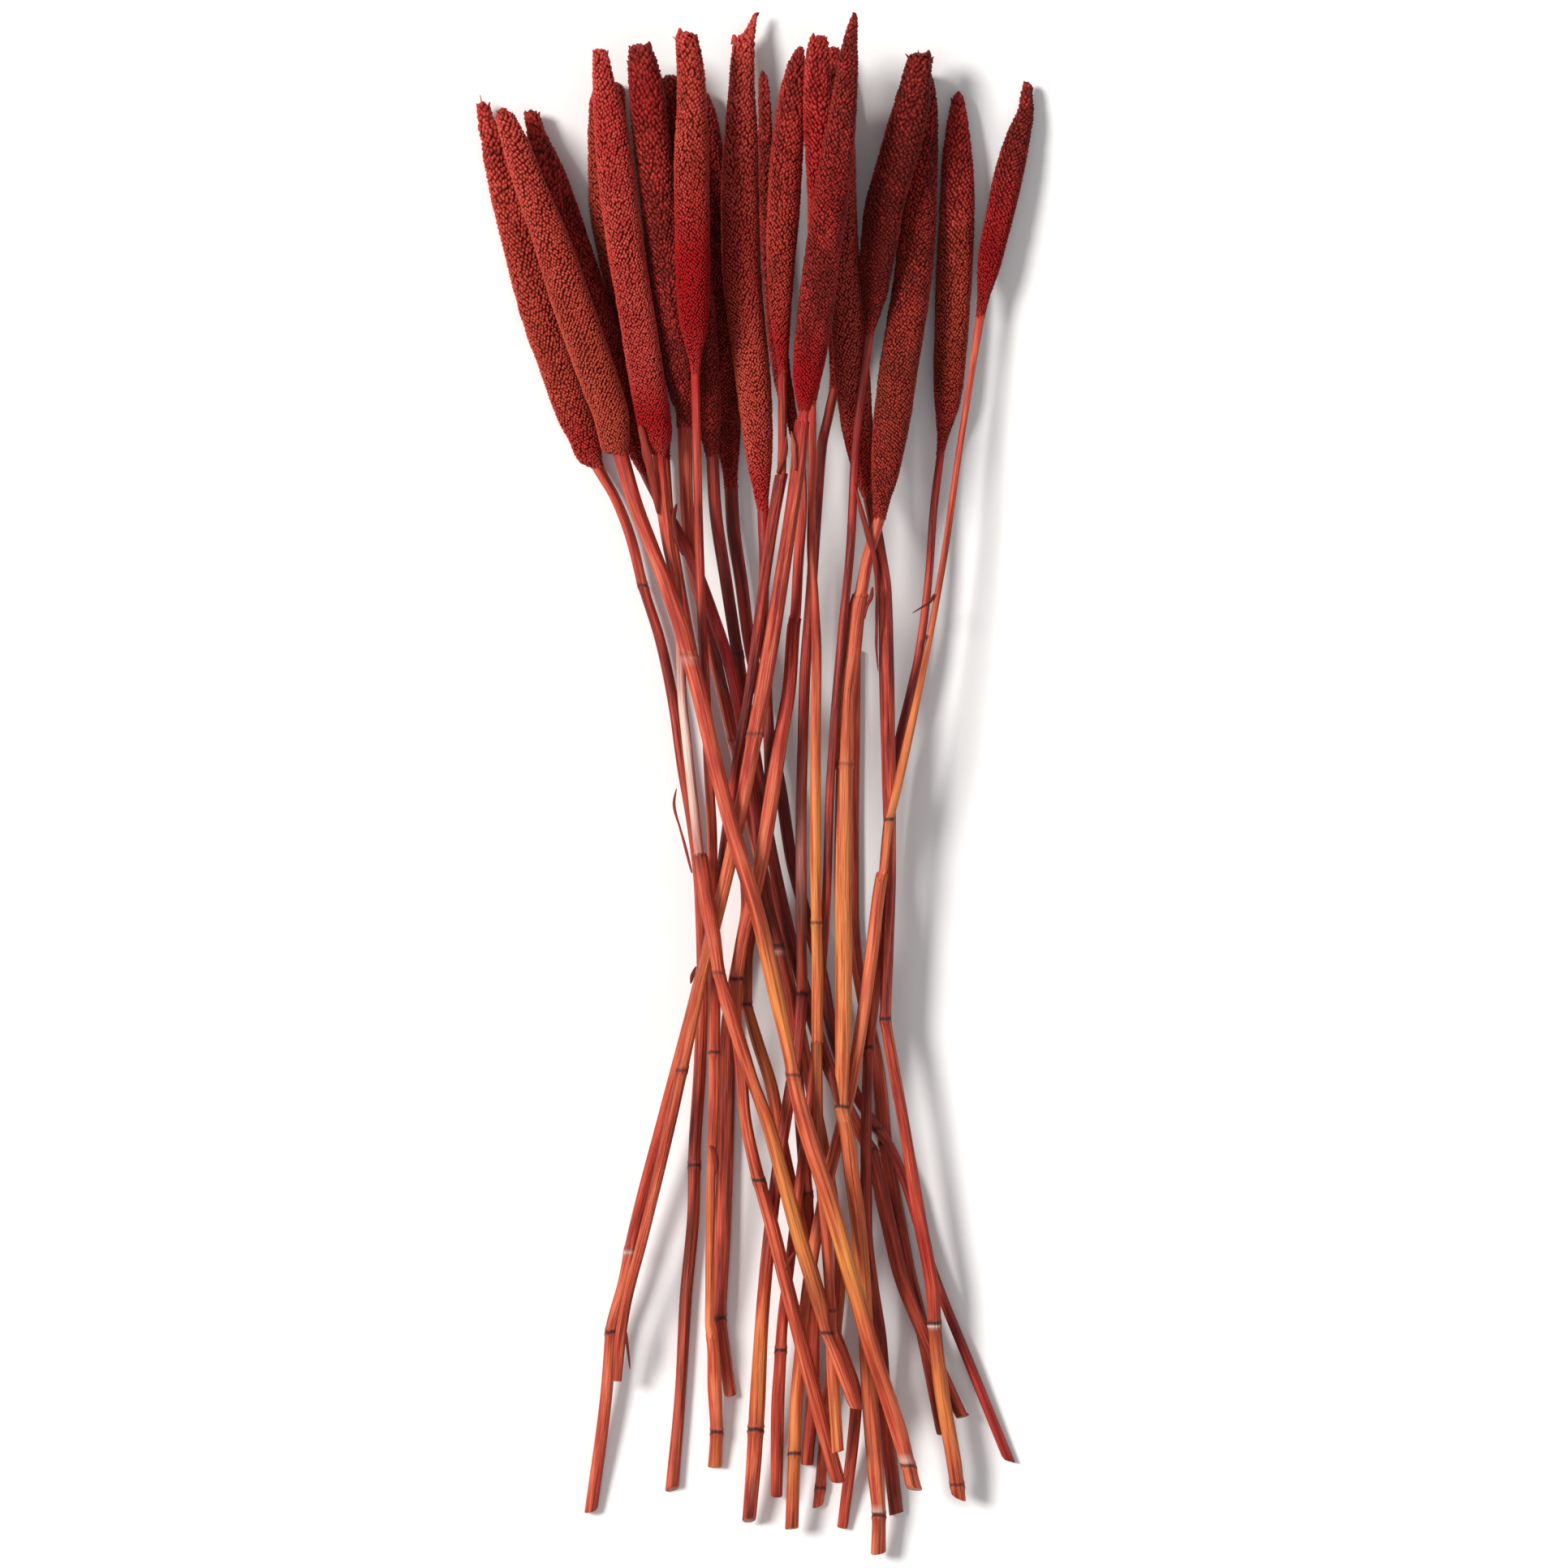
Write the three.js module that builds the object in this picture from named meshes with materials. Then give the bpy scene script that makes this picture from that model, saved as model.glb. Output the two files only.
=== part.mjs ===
import * as THREE from "three";

// A loose bunch of dried pearl millet lying on the plane z = 0, in millimetres.
// The seed heads point toward +Y, the cut ends toward -Y, and Z is up.

const HEAD_SIDES = 9; // faces round a seed head
const STALK_SIDES = 6; // faces round a stalk
const CLEARANCE = 0.4; // least distance between two pieces that lie on each other
const NECK_GAP = 0.3; // gap between a head and its stalk
const STEEPEST = 0.2; // steepest slope a stem takes over the ones below it
const LEAF_STEEPEST = 0.35; // steepest slope of a loose leaf
const LEAF_THICK = 0.9; // thickness of a dry leaf or sheath at its middle
const JOINT_HALF = 3.2; // half the length of the swelling at a joint
const JOINT_SWELL = 1.13; // radius at a joint over the radius beside it
const CROWN_DEPTH = 6; // how deep the broken crown of a head is notched
const STEP = 4; // spacing of the checks along Y while settling

// The stems from the lowest to the one that lies on top.
// A ring is [x, y, radius] and rings run from the tip of the head to the cut end.
// A joint is the y at which the cane swells.
const STEMS = [
  {
    id: "21",
    joints: [-167],
    head: [],
    stalk: [
      [46.5, 62, 2.8], [46, 20, 3], [45.5, -20, 3], [45.5, -58, 3], [47, -80, 3],
      [51, -103, 3.2], [55.5, -124, 3.3], [58.5, -143, 3.3], [60.5, -167, 3.3],
      [66.5, -201, 3.4], [71, -225, 3.4], [77, -250, 3.4], [82, -275, 3.2], [87.5, -303, 3.2],
    ],
  },
  {
    id: "05",
    joints: [-248],
    head: [
      [-67.5, 326, 7.2], [-68.4, 314, 9], [-68.5, 298, 9.5], [-68, 270, 9.5], [-64.5, 248, 9.5],
      [-56.5, 212, 9.5], [-50, 184, 9], [-45.5, 166, 7.4], [-43, 155, 4],
    ],
    stalk: [
      [-42, 150, 2.8], [-40.5, 128, 2.8], [-35, 92, 2.8], [-29, 60, 2.8], [-24, 38, 2.8],
      [-17, 8, 2.8], [-9.5, -20, 2.8], [-4.5, -40, 3], [-3.5, -56, 3.2], [-6, -74, 3.4],
      [-9.5, -94, 3.6], [-12.3, -114, 3.8], [-13, -140, 4], [-13.8, -172, 4.1],
      [-15, -205, 4.1], [-17, -248, 3.7], [-13.8, -268, 3.1], [-11.4, -284.6, 3],
    ],
  },
  {
    id: "09",
    joints: [35, -160],
    head: [
      [-27, 322, 5.6], [-24.5, 306, 8.2], [-21, 275, 9], [-18.5, 245, 9], [-16.5, 215, 8.8],
      [-14.5, 186, 8], [-13, 168, 6.8], [-12, 154, 5.2], [-11.4, 143, 3.8],
    ],
    stalk: [
      [-11, 137, 3.2], [-10, 119, 3.2], [-6.5, 95, 3.1], [-2.5, 65, 3], [4, 35, 3], [11.5, 0, 3],
      [17, -35, 3], [24, -62, 3], [31, -88, 3], [36, -115, 3], [44, -138, 3], [54, -156, 3],
      [62, -167, 2.8], [69.5, -184, 2.6], [76, -205, 2.5], [84, -230, 2.5], [100, -270, 2.6],
      [118.5, -315.5, 2.6],
    ],
  },
  {
    id: "07",
    joints: [60, -169],
    head: [
      [-39, 328, 4.6], [-37.5, 315, 7.6], [-34.5, 290, 9], [-31, 260, 9.2], [-27.5, 225, 9.2],
      [-24.5, 190, 8.6], [-22, 169, 6.6], [-20.4, 157, 4],
    ],
    stalk: [
      [-19.6, 151, 3], [-18.5, 130, 3], [-13, 92, 3], [-6, 47, 3], [0, 14, 3], [5.5, -20, 3],
      [10.5, -45, 3], [16, -69, 3], [22, -92, 3.2], [28, -113, 3.3], [34.5, -132, 3.4],
      [46.5, -157, 3.5], [54, -170, 3.6], [57.5, -184, 3.7], [62, -204, 3.8], [68, -229, 3.8],
      [77, -252, 3.6], [96.5, -294.5, 3.2],
    ],
  },
  {
    id: "06",
    joints: [20, -327],
    head: [
      [-53, 341, 5.6], [-51, 328, 8], [-49, 310, 9], [-45.5, 280, 9.2], [-42, 250, 9.2],
      [-38.5, 220, 9], [-35.5, 195, 8.2], [-33.6, 180, 6.4], [-32.6, 171, 4.2],
    ],
    stalk: [
      [-32.4, 164, 3.4], [-31.5, 132, 3.3], [-29, 104, 3.2], [-22.5, 76, 3], [-16, 48, 3],
      [-8, 14, 3], [-1, -20, 3], [6, -50, 3], [13, -80, 3], [20, -110, 3], [26, -140, 3],
      [32, -170, 3], [37, -200, 3], [39.5, -223, 3], [37.5, -256, 2.8], [34, -284, 2.7],
      [32, -306, 2.6], [30.4, -327, 2.6], [29.2, -336.5, 2.5],
    ],
  },
  {
    id: "01",
    joints: [92, -177],
    head: [
      [-126.3, 315.5, 3.1], [-124.8, 308.5, 4.6], [-121.8, 300, 6.2], [-118.6, 288, 7.6],
      [-113.4, 270, 9.2], [-105.6, 240, 9.6], [-98.8, 215, 9.8], [-90, 190, 9.6],
      [-83.2, 170, 9.2], [-78.6, 158, 7.6], [-76.2, 150, 6.1],
    ],
    stalk: [
      [-72.4, 146, 3], [-64, 131, 2.6], [-57.5, 114, 2.6], [-52, 92, 2.5], [-43.5, 65, 2.6],
      [-37.5, 36, 2.7], [-33.5, 8, 2.8], [-28.5, -22, 2.8], [-25.5, -50, 2.8], [-24.3, -90, 2.9],
      [-25.5, -130, 3], [-28, -172, 3], [-28.4, -195, 2.9], [-32.2, -240, 3], [-34.4, -280, 2.8],
      [-38.6, -329, 3.3],
    ],
  },
  {
    id: "03",
    joints: [-75, -190],
    head: [
      [-103.9, 311.5, 3.9], [-101.4, 302, 5.1], [-95.4, 284, 7.8], [-88, 260, 9], [-79, 232, 9.4],
      [-69.6, 205, 9.4], [-61.4, 180, 8.8], [-55.6, 160, 7.2], [-52.2, 149, 4.6],
    ],
    stalk: [
      [-49.6, 143, 3.4], [-44.5, 132, 3], [-36.5, 118, 3], [-28, 101, 3], [-20, 80, 3],
      [-11.5, 54, 3], [-5.5, 25, 3], [0.5, -13, 3], [5, -52, 3.2], [10.6, -75, 3.3],
      [15.5, -101, 3.1], [20, -140, 3], [24, -190, 3], [26, -225, 3], [27, -250, 3.1],
      [27, -275, 3], [24.3, -316.5, 2.9],
    ],
  },
  {
    id: "10",
    joints: [-102],
    head: [
      [0.9, 358, 0.8], [-2.4, 349, 3.2], [-5.2, 342, 5.6], [-6, 325, 6.4], [-6.3, 303, 8.1],
      [-6.8, 275, 9.2], [-6.2, 240, 9.4], [-4, 215, 9], [-0.8, 188, 8.6], [1.2, 163, 7.4],
      [2.4, 145, 5.7], [3.2, 133, 3.8],
    ],
    stalk: [
      [3.8, 126, 2.7], [4.4, 104, 2.5], [4, 77, 2.5], [5.5, 44, 2.6], [7, 6, 2.7], [4, -32, 2.8],
      [0, -60, 2.7], [-3.4, -82, 2.6], [-3.8, -102, 2.7], [1.5, -120, 3.1], [7.8, -140, 3.1],
      [12.5, -165, 3], [20, -198, 2.8], [30, -235, 2.7], [41, -264, 2.8], [47, -285, 2.9],
      [46, -300, 2.9], [40.6, -346, 2.6],
    ],
  },
  {
    id: "14",
    joints: [-97, -299],
    head: [
      [36.5, 342, 3.6], [36.8, 325, 6.2], [38, 300, 7.6], [39.5, 270, 8], [39.8, 240, 7.6],
      [39, 215, 6], [38, 200, 4.2], [37.4, 190, 3],
    ],
    stalk: [
      [36.6, 182, 2.4], [34, 170, 2.4], [31, 156, 2.5], [29, 132, 2.6], [26, 88, 2.6],
      [23.2, 50, 2.7], [22.2, 20, 2.6], [21.4, -19, 2.7], [21.5, -56, 2.7], [21.6, -76, 2.5],
      [22, -97, 2.9], [20, -119, 2.9], [15, -150, 3], [11.5, -172, 3], [6.2, -215, 3.2],
      [3.2, -250, 3.3], [1, -290, 3.8], [-0.3, -312, 3.6], [-2.8, -343, 3.2],
    ],
  },
  {
    id: "19",
    joints: [-122],
    head: [
      [94.4, 320.5, 2.4], [94.2, 312, 4.6], [94, 300, 6.4], [94, 285, 7.9], [93.8, 265, 8.6],
      [92.6, 240, 8.8], [91.3, 212, 8.3], [90, 190, 7.6], [89.4, 177, 6.4], [88.2, 168, 4.6],
      [87, 160, 2.9],
    ],
    stalk: [
      [86, 152, 1.9], [83, 128, 1.9], [80.5, 95, 1.9], [76, 60, 2.1], [72.8, 45, 2.2],
      [65.5, 12, 2.4], [60, -40, 2.5], [57.5, -81, 2.6], [52.6, -122, 2.5], [51.5, -165, 2.7],
      [51.6, -205, 2.9], [54.4, -233, 3.2], [58, -258, 3.4], [60.4, -290, 3.4],
      [65.8, -340, 3.5],
    ],
  },
  {
    id: "16",
    joints: [-109, -250, -325],
    head: [
      [40.5, 318, 5], [39.5, 300, 7.2], [39.3, 275, 8], [40.6, 245, 8.1], [42.8, 215, 8.3],
      [45, 190, 8.5], [47, 168, 7.9], [49, 152, 6.5], [51, 141, 4.8],
    ],
    stalk: [
      [53, 132, 3.1], [57.5, 109, 3], [60.2, 88, 3.3], [61, 50, 3.6], [61.9, 5, 3.3],
      [62.6, -38, 2.8], [61.2, -80, 3], [60.4, -109, 2.6], [62.4, -121, 2.8], [69.4, -160, 2.8],
      [76, -200, 3.4], [82.6, -238, 3.4], [83.3, -252, 3.3], [86.4, -280, 3.7], [92.4, -315, 3.7],
      [94.8, -332.5, 3.2],
    ],
  },
  {
    id: "20",
    joints: [-16.5, -310],
    head: [
      [126.4, 325, 2.6], [125.8, 314, 4], [122.2, 301, 6.2], [117.6, 282, 7.3], [113.2, 262, 7],
      [110, 248, 6.5], [108, 237, 5.4], [106, 226, 3.4],
    ],
    stalk: [
      [104.4, 216, 2.1], [100.3, 190, 1.6], [94, 150, 1.6], [88.3, 110, 1.7], [81.3, 70, 1.6],
      [76.5, 46, 1.7], [70.8, 20, 2.1], [65, -5, 2.3], [61.8, -18, 2.1], [59.4, -40, 1.9],
      [58.4, -44, 3], [53.8, -80, 3.1], [44.8, -138, 3], [34, -182, 3], [26, -223, 3],
      [22, -256, 3.2], [19, -290, 3.2], [18.2, -312, 3.1], [17.1, -346, 3.3],
    ],
  },
  {
    id: "18",
    joints: [9, -149, -339],
    head: [
      [77.5, 331, 4.8], [77.8, 318, 7], [77, 300, 8.4], [76, 272, 8.8], [74, 242, 9.2],
      [69.8, 212, 9.5], [66.2, 190, 9.4], [63.6, 170, 9.1], [61.6, 155, 8], [60, 142, 6.6],
      [58.4, 130, 4.4],
    ],
    stalk: [
      [57.4, 122, 2.9], [52, 104, 3], [49, 88, 3.2], [47.6, 83, 4.2], [45, 60, 4.2], [42.2, 38, 4],
      [41.2, 0, 4], [40.7, -40, 4.1], [41, -80, 4.2], [40.8, -110, 4], [40, -149, 3.2],
      [42.4, -160, 3.7], [44.8, -180, 3.7], [47.6, -201, 3.7], [50.2, -230, 3.6], [51.4, -252, 3.6],
      [53, -282, 3.8], [56, -318, 4], [57.6, -339, 3.3], [57.3, -357.6, 3.7],
    ],
  },
  {
    id: "17",
    joints: [-120, -262],
    head: [
      [76.5, 338, 5.8], [75, 328, 7.2], [72.2, 314, 8.8], [69, 300, 9.6], [64.3, 283, 9.8],
      [59.5, 265, 9.6], [57.5, 250, 9.2], [56, 238, 8.2], [55.4, 225, 6.2], [54, 215, 4],
    ],
    stalk: [
      [52.6, 206, 2.1], [49.5, 182, 2.1], [46.4, 152, 2.1], [44.2, 110, 2.1], [40.3, 70, 2.1],
      [36.8, 30, 2.1], [34.6, -6, 2.1], [33.2, -50, 2.2], [28, -125, 2.3], [22.5, -170, 2.3],
      [17, -215, 2.4], [12.5, -253, 2.7], [10.6, -290, 3.2], [10, -331, 2.9],
    ],
  },
  {
    id: "11",
    joints: [-90, -183],
    head: [
      [3.8, 329, 2.4], [4.4, 318, 3.2], [5, 300, 3.8], [6, 268, 4.4], [8, 235, 4.8],
      [10.4, 205, 4.8], [13.8, 182, 4.4], [17.6, 166, 3.2],
    ],
    stalk: [
      [20.6, 155, 2.5], [21.8, 130, 2.5], [20, 100, 2.5], [18.8, 78, 2.6], [18, 73, 3.2],
      [16, 45, 3.3], [11.8, 20, 3.6], [8.7, 0, 3.7], [4, -30, 3.7], [0, -50, 3.4], [-5.3, -70, 3.2],
      [-8.5, -90, 3.1], [-9, -105, 3], [-6.2, -130, 2.8], [-4.8, -150, 2.8], [1.2, -180, 3.1],
      [7, -200, 3.4], [14.5, -230, 3.5], [27.2, -280, 3.6], [38.6, -323, 3.7],
    ],
  },
  {
    id: "12",
    joints: [-216, -254],
    head: [
      [20.8, 340, 2.6], [18.6, 328, 5.4], [16.4, 308, 7.4], [14.4, 285, 8], [13.2, 262, 7.8],
      [12, 240, 6.8], [11.8, 218, 5.4], [12.4, 204, 4], [12.8, 194, 2.7],
    ],
    stalk: [
      [12.8, 188, 2.1], [12.8, 160, 2.1], [12.4, 143, 2.2], [11.8, 140, 3.1], [8.3, 120, 2.9],
      [4, 90, 2.7], [0, 60, 2.6], [-3, 40, 2.4], [-8.3, 10, 2.4], [-12, -15, 2.5], [-16, -45, 2.7],
      [-21.5, -74, 2.8], [-28, -100, 2.8], [-41, -150, 3], [-56.6, -210, 2.9], [-60.6, -230, 2.8],
      [-66.6, -252, 2.8], [-68.6, -280, 3], [-76.2, -338.6, 3.2],
    ],
  },
  {
    id: "13",
    joints: [-64, -243],
    head: [
      [29.5, 344, 4.6], [28.8, 330, 6.4], [29.2, 312, 7.4], [30.8, 290, 8], [32, 265, 8],
      [31.5, 240, 7.6], [29.5, 215, 6.8], [27.6, 195, 5.4], [26.7, 182, 3.4],
    ],
    stalk: [
      [26.4, 174, 1.9], [26.6, 150, 1.8], [26, 112, 2], [27.5, 84, 2.2], [28.5, 60, 2.4],
      [28.1, 20, 2.5], [28, -30, 2.6], [28.5, -64, 2.5], [29, -91, 2.8], [28.8, -116, 2.8],
      [28.9, -121, 2.3], [29.4, -165, 2.5], [33, -209, 2.6], [35.2, -243, 2.4], [35.6, -262, 2.7],
      [38.4, -309, 2.9],
    ],
  },
  {
    id: "08",
    joints: [-124, -301],
    head: [
      [-31.6, 346, 5.4], [-29.6, 330, 6.8], [-28.9, 310, 7.5], [-29, 287, 8.5], [-28.6, 250, 8.5],
      [-28.2, 225, 8], [-28, 212, 7], [-27.6, 202, 4.8], [-27.4, 194, 3],
    ],
    stalk: [
      [-27.3, 188, 2.1], [-26.5, 152, 2.1], [-25.5, 110, 2.2], [-24.2, 74, 2.3], [-22.5, 40, 2.3],
      [-21.3, 8, 2.3], [-19.6, -25, 2.4], [-19.3, -60, 2.6], [-18.6, -98, 2.9], [-18.6, -140, 2.7],
      [-19.6, -166, 2.4], [-20.4, -190, 2.2], [-20.9, -232, 2.2], [-21, -248, 2.3], [-19.2, -264, 3],
      [-18.6, -280, 3.5],
      [-17.7, -301, 3], [-18.6, -318, 3.4],
    ],
  },
  {
    id: "15",
    joints: [23, -132],
    head: [
      [46, 354, 1.8], [44.3, 344, 3.6], [42.8, 330, 5.2], [40.5, 308, 6.8], [37.3, 285, 8],
      [34, 262, 8.6], [30.8, 240, 8.7], [28.4, 220, 8.8], [26.2, 203, 8.4], [24.3, 188, 7.2],
      [23.2, 178, 4.8],
    ],
    stalk: [
      [22.7, 171, 2.6], [22, 167, 2.6], [21.6, 164, 3.7], [20, 146, 3.7], [16.3, 120, 3.5],
      [11.7, 90, 3.6], [6.8, 60, 3.8], [1.5, 30, 3.8], [-4, 0, 3.5], [-11, -34, 3.3],
      [-17.6, -62, 3.1], [-24, -87, 2.8], [-31, -120, 2.8], [-38, -152, 2.8], [-51.7, -210, 2.6],
      [-59.4, -240, 2.6], [-62.4, -258, 2.8], [-63.8, -277, 2.2],
    ],
  },
  {
    id: "04",
    joints: [-87, -253],
    head: [
      [-71.5, 339, 3.7], [-69.8, 325, 5.4], [-67, 308, 7.8], [-63.3, 276, 9], [-59.3, 246, 9],
      [-55.3, 222, 8.8], [-51.3, 197, 8.7], [-48.3, 178, 8.6], [-46.2, 165, 8.2],
      [-45.5, 158.5, 7.4], [-44.9, 155.4, 5.4],
    ],
    stalk: [
      [-44.2, 151, 3], [-42.3, 130, 3.4], [-39.7, 110, 3], [-36.4, 93, 2.9], [-34.4, 70, 2.4],
      [-33.4, 42, 2.3], [-31, 18, 2.3], [-28.2, -8, 2.3], [-25.6, -31, 2.3], [-25, -34, 3.5],
      [-22.6, -50, 3.8], [-19, -70, 3.6], [-16.4, -87, 2.9], [-12.2, -102, 3.6],
      [-6.4, -120, 3.5], [-0.8, -137, 3.1], [5.8, -155, 3.5], [12.8, -180, 3.6],
      [21, -210, 3.9], [30, -240, 3.7], [33.4, -253, 2.9], [38, -264, 3.5], [47, -288, 3.4],
    ],
  },
  {
    id: "02",
    joints: [59, -134, -315],
    head: [
      [-116.2, 312, 3.4], [-114.6, 307, 5.2], [-112, 300, 6.4], [-105, 280, 7.9],
      [-93.5, 250, 9.3], [-83.6, 220, 10], [-76.6, 200, 10], [-69.6, 180, 9.6], [-65.8, 168, 8.5],
      [-64.6, 158, 7.3], [-64.3, 153.6, 6],
    ],
    stalk: [
      [-61.4, 151, 3.8], [-55.3, 130, 3.7], [-47.6, 110, 3.5], [-40, 90, 3.9], [-33, 70, 4.1],
      [-25.5, 42, 4], [-18.5, 11, 3.8], [-10.5, -20, 3.9], [-4.6, -40, 3.9], [2, -62, 3.9],
      [9.6, -96, 3.8], [16.6, -128, 3.1], [18, -136, 3.3], [24.2, -160, 4.2], [33.8, -190, 4.2],
      [44, -225, 4.2], [53.8, -260, 4.2], [66.2, -298, 4.2], [71, -315, 3.6],
      [73.8, -327, 3.9],
    ],
  },
];

// Loose dry leaves and torn sheaths. A ring is [x, y, half width].
const LEAVES = [
  {
    name: "blade_neck_04",
    rings: [[-52.5, 165, 2.2], [-49.6, 152, 2.4], [-46.6, 138, 2.2], [-44.4, 124, 1.4]],
  },
  {
    name: "sheath_curl_03",
    rings: [[-36, 129, 1], [-37.4, 121, 1.5], [-36, 113, 1.7], [-33, 105, 1]],
  },
  {
    name: "blade_left_01",
    rings: [
      [-36, -2, 0.6], [-37.3, -9, 1], [-34.4, -20, 0.7], [-31.6, -30, 0.8], [-28.8, -41, 0.9],
    ],
  },
  {
    name: "blade_waist_06",
    rings: [[-20.6, 69, 1.2], [-16.4, 54, 1.6], [-12.6, 40, 1.4]],
  },
  {
    name: "sheath_torn_12",
    rings: [[14.6, 160, 1], [13.4, 150, 1.8], [10.6, 143, 1.6]],
  },
  {
    name: "blade_torn_15",
    rings: [[17, 162, 0.8], [18.4, 154, 1.8], [18.6, 144, 1.4]],
  },
  {
    name: "blade_cross_16",
    rings: [
      [45.8, 139, 0.8], [49, 127, 1.7], [52.6, 114, 2], [55.6, 102, 1.4], [56.4, 84, 0.8],
      [56.2, 66, 0.9], [57, 52, 0.6],
    ],
  },
  {
    name: "sheath_curl_18",
    rings: [[54.4, 91, 0.8], [53.6, 86, 1.2], [51.4, 81, 1.1], [50.6, 76, 0.8]],
  },
  {
    name: "sheath_curl_19",
    rings: [[83, 88, 0.7], [80.6, 84, 1.2], [77, 81.5, 1], [73, 79, 0.8]],
  },
  {
    name: "sheath_nub_19",
    rings: [[79.6, 69, 0.6], [77.6, 66, 1.1], [76.8, 62, 0.8]],
  },
  {
    name: "sheath_nub_01",
    rings: [[-27, -84, 0.8], [-28.6, -88, 1.2], [-29.4, -92, 0.7]],
  },
  {
    name: "sheath_side_08",
    rings: [[-20.4, -167, 1.2], [-18.4, -172, 1.6], [-17.4, -181, 0.8]],
  },
  {
    name: "needle_15",
    rings: [[-59.6, -253, 0.8], [-58.8, -262, 0.7], [-57.8, -271, 0.5]],
  },
  {
    name: "awn_04",
    rings: [[18.6, -215, 0.6], [16, -219, 0.9], [14.4, -224, 0.6]],
  },
  {
    name: "leaf_cut_07",
    rings: [[34.4, -130, 1.5], [36, -139, 1.6], [38, -148, 1]],
  },
];

// A repeatable number between 0 and 1 for each whole number.
function scatter(n) {
  const s = Math.sin(n * 12.9898 + 4.1414) * 43758.5453;
  return s - Math.floor(s);
}

// The rings of a stalk with a swelling added at each joint.
function jointed(rings, joints) {
  const out = rings.map((ring) => [...ring]);
  for (const y of joints) {
    const kept = out.filter((ring) => Math.abs(ring[1] - y) > JOINT_HALF + 1);
    const added = [JOINT_HALF, 0, -JOINT_HALF].map((step) => {
      const [x, , r] = between(out, y + step);
      return [x, y + step, step === 0 ? r * JOINT_SWELL : r];
    });
    out.length = 0;
    out.push(...kept, ...added);
    out.sort((a, b) => b[1] - a[1]);
  }
  return out;
}

// The ring at y on the straight lines between the given ones, which run down in y.
function between(rings, y) {
  let k = 1;
  while (k < rings.length - 1 && rings[k][1] > y) k += 1;
  const a = rings[k - 1];
  const b = rings[k];
  const t = (a[1] - y) / (a[1] - b[1]);
  return a.map((value, i) => value + (b[i] - value) * t);
}

// Raises heights so that no slope is above the limit, then draws the line tight over them.
function drawnTight(ys, needed, steepest) {
  const cone = ys.map((y) =>
    Math.max(...ys.map((other, m) => needed[m] - steepest * Math.abs(y - other))),
  );
  const hull = [];
  for (let k = 0; k < ys.length; k += 1) {
    while (hull.length > 1) {
      const [a, b] = [hull[hull.length - 2], hull[hull.length - 1]];
      const straight = cone[a] + ((cone[k] - cone[a]) * (ys[b] - ys[a])) / (ys[k] - ys[a]);
      if (cone[b] > straight) break;
      hull.pop();
    }
    hull.push(k);
  }
  return ys.map((y, k) => {
    const i = Math.max(1, hull.findIndex((h) => h >= k));
    const [a, b] = [hull[i - 1], hull[i]];
    return cone[a] + ((cone[b] - cone[a]) * (y - ys[a])) / (ys[b] - ys[a]);
  });
}

// Every stem as rings [x, y, radius, z] from tip to cut end.
const stems = STEMS.map((stem, order) => {
  const head = stem.head.map((ring) => [...ring]);
  const stalk = jointed(stem.stalk, stem.joints);
  if (head.length) {
    const neck = [...stalk[0]];
    const base = [neck[0], neck[1] + NECK_GAP, neck[2] * 1.15];
    head.push(base);
  }
  const rings = [...head, ...stalk];
  const fullest = Math.max(0, ...head.map((ring) => ring[2]));
  const widest = head.findIndex((ring) => ring[2] === fullest);
  const flat = rings.map((ring, k) => {
    const sides = k < head.length ? HEAD_SIDES : STALK_SIDES;
    const radius = k < widest ? fullest : ring[2];
    return radius * Math.cos(Math.PI / sides);
  });
  rings.forEach((ring, k) => ring.push(flat[k]));
  return { id: stem.id, order, rings, flat, heads: head.length };
});

// The height a stem needs at y to clear every stem that lies under it there.
function clearedHeight(stem, y) {
  const [x, , r] = between(stem.rings, y);
  const heights = stems.map((other) => {
    const outside = y > other.rings[0][1] || y < other.rings[other.rings.length - 1][1];
    if (outside || other.order >= stem.order) return 0;
    const [ox, , or, oz] = between(other.rings, y);
    const reach = r + or + CLEARANCE;
    const across = Math.abs(x - ox);
    return across < reach ? oz + Math.sqrt(reach * reach - across * across) : 0;
  });
  return Math.max(...heights);
}

// Lays each stem on the ones under it, from the lowest up.
for (const stem of stems) {
  const ys = stem.rings.map((ring) => ring[1]);
  const needed = [...stem.flat];
  for (let k = 1; k < ys.length; k += 1) {
    const count = Math.max(1, Math.ceil((ys[k - 1] - ys[k]) / STEP));
    for (let i = 0; i <= count; i += 1) {
      const z = clearedHeight(stem, ys[k - 1] + ((ys[k] - ys[k - 1]) * i) / count);
      needed[k - 1] = Math.max(needed[k - 1], z);
      needed[k] = Math.max(needed[k], z);
    }
  }
  const heights = drawnTight(ys.map((y) => -y), needed, STEEPEST);
  stem.rings.forEach((ring, k) => {
    ring[3] = heights[k];
  });
}

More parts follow.
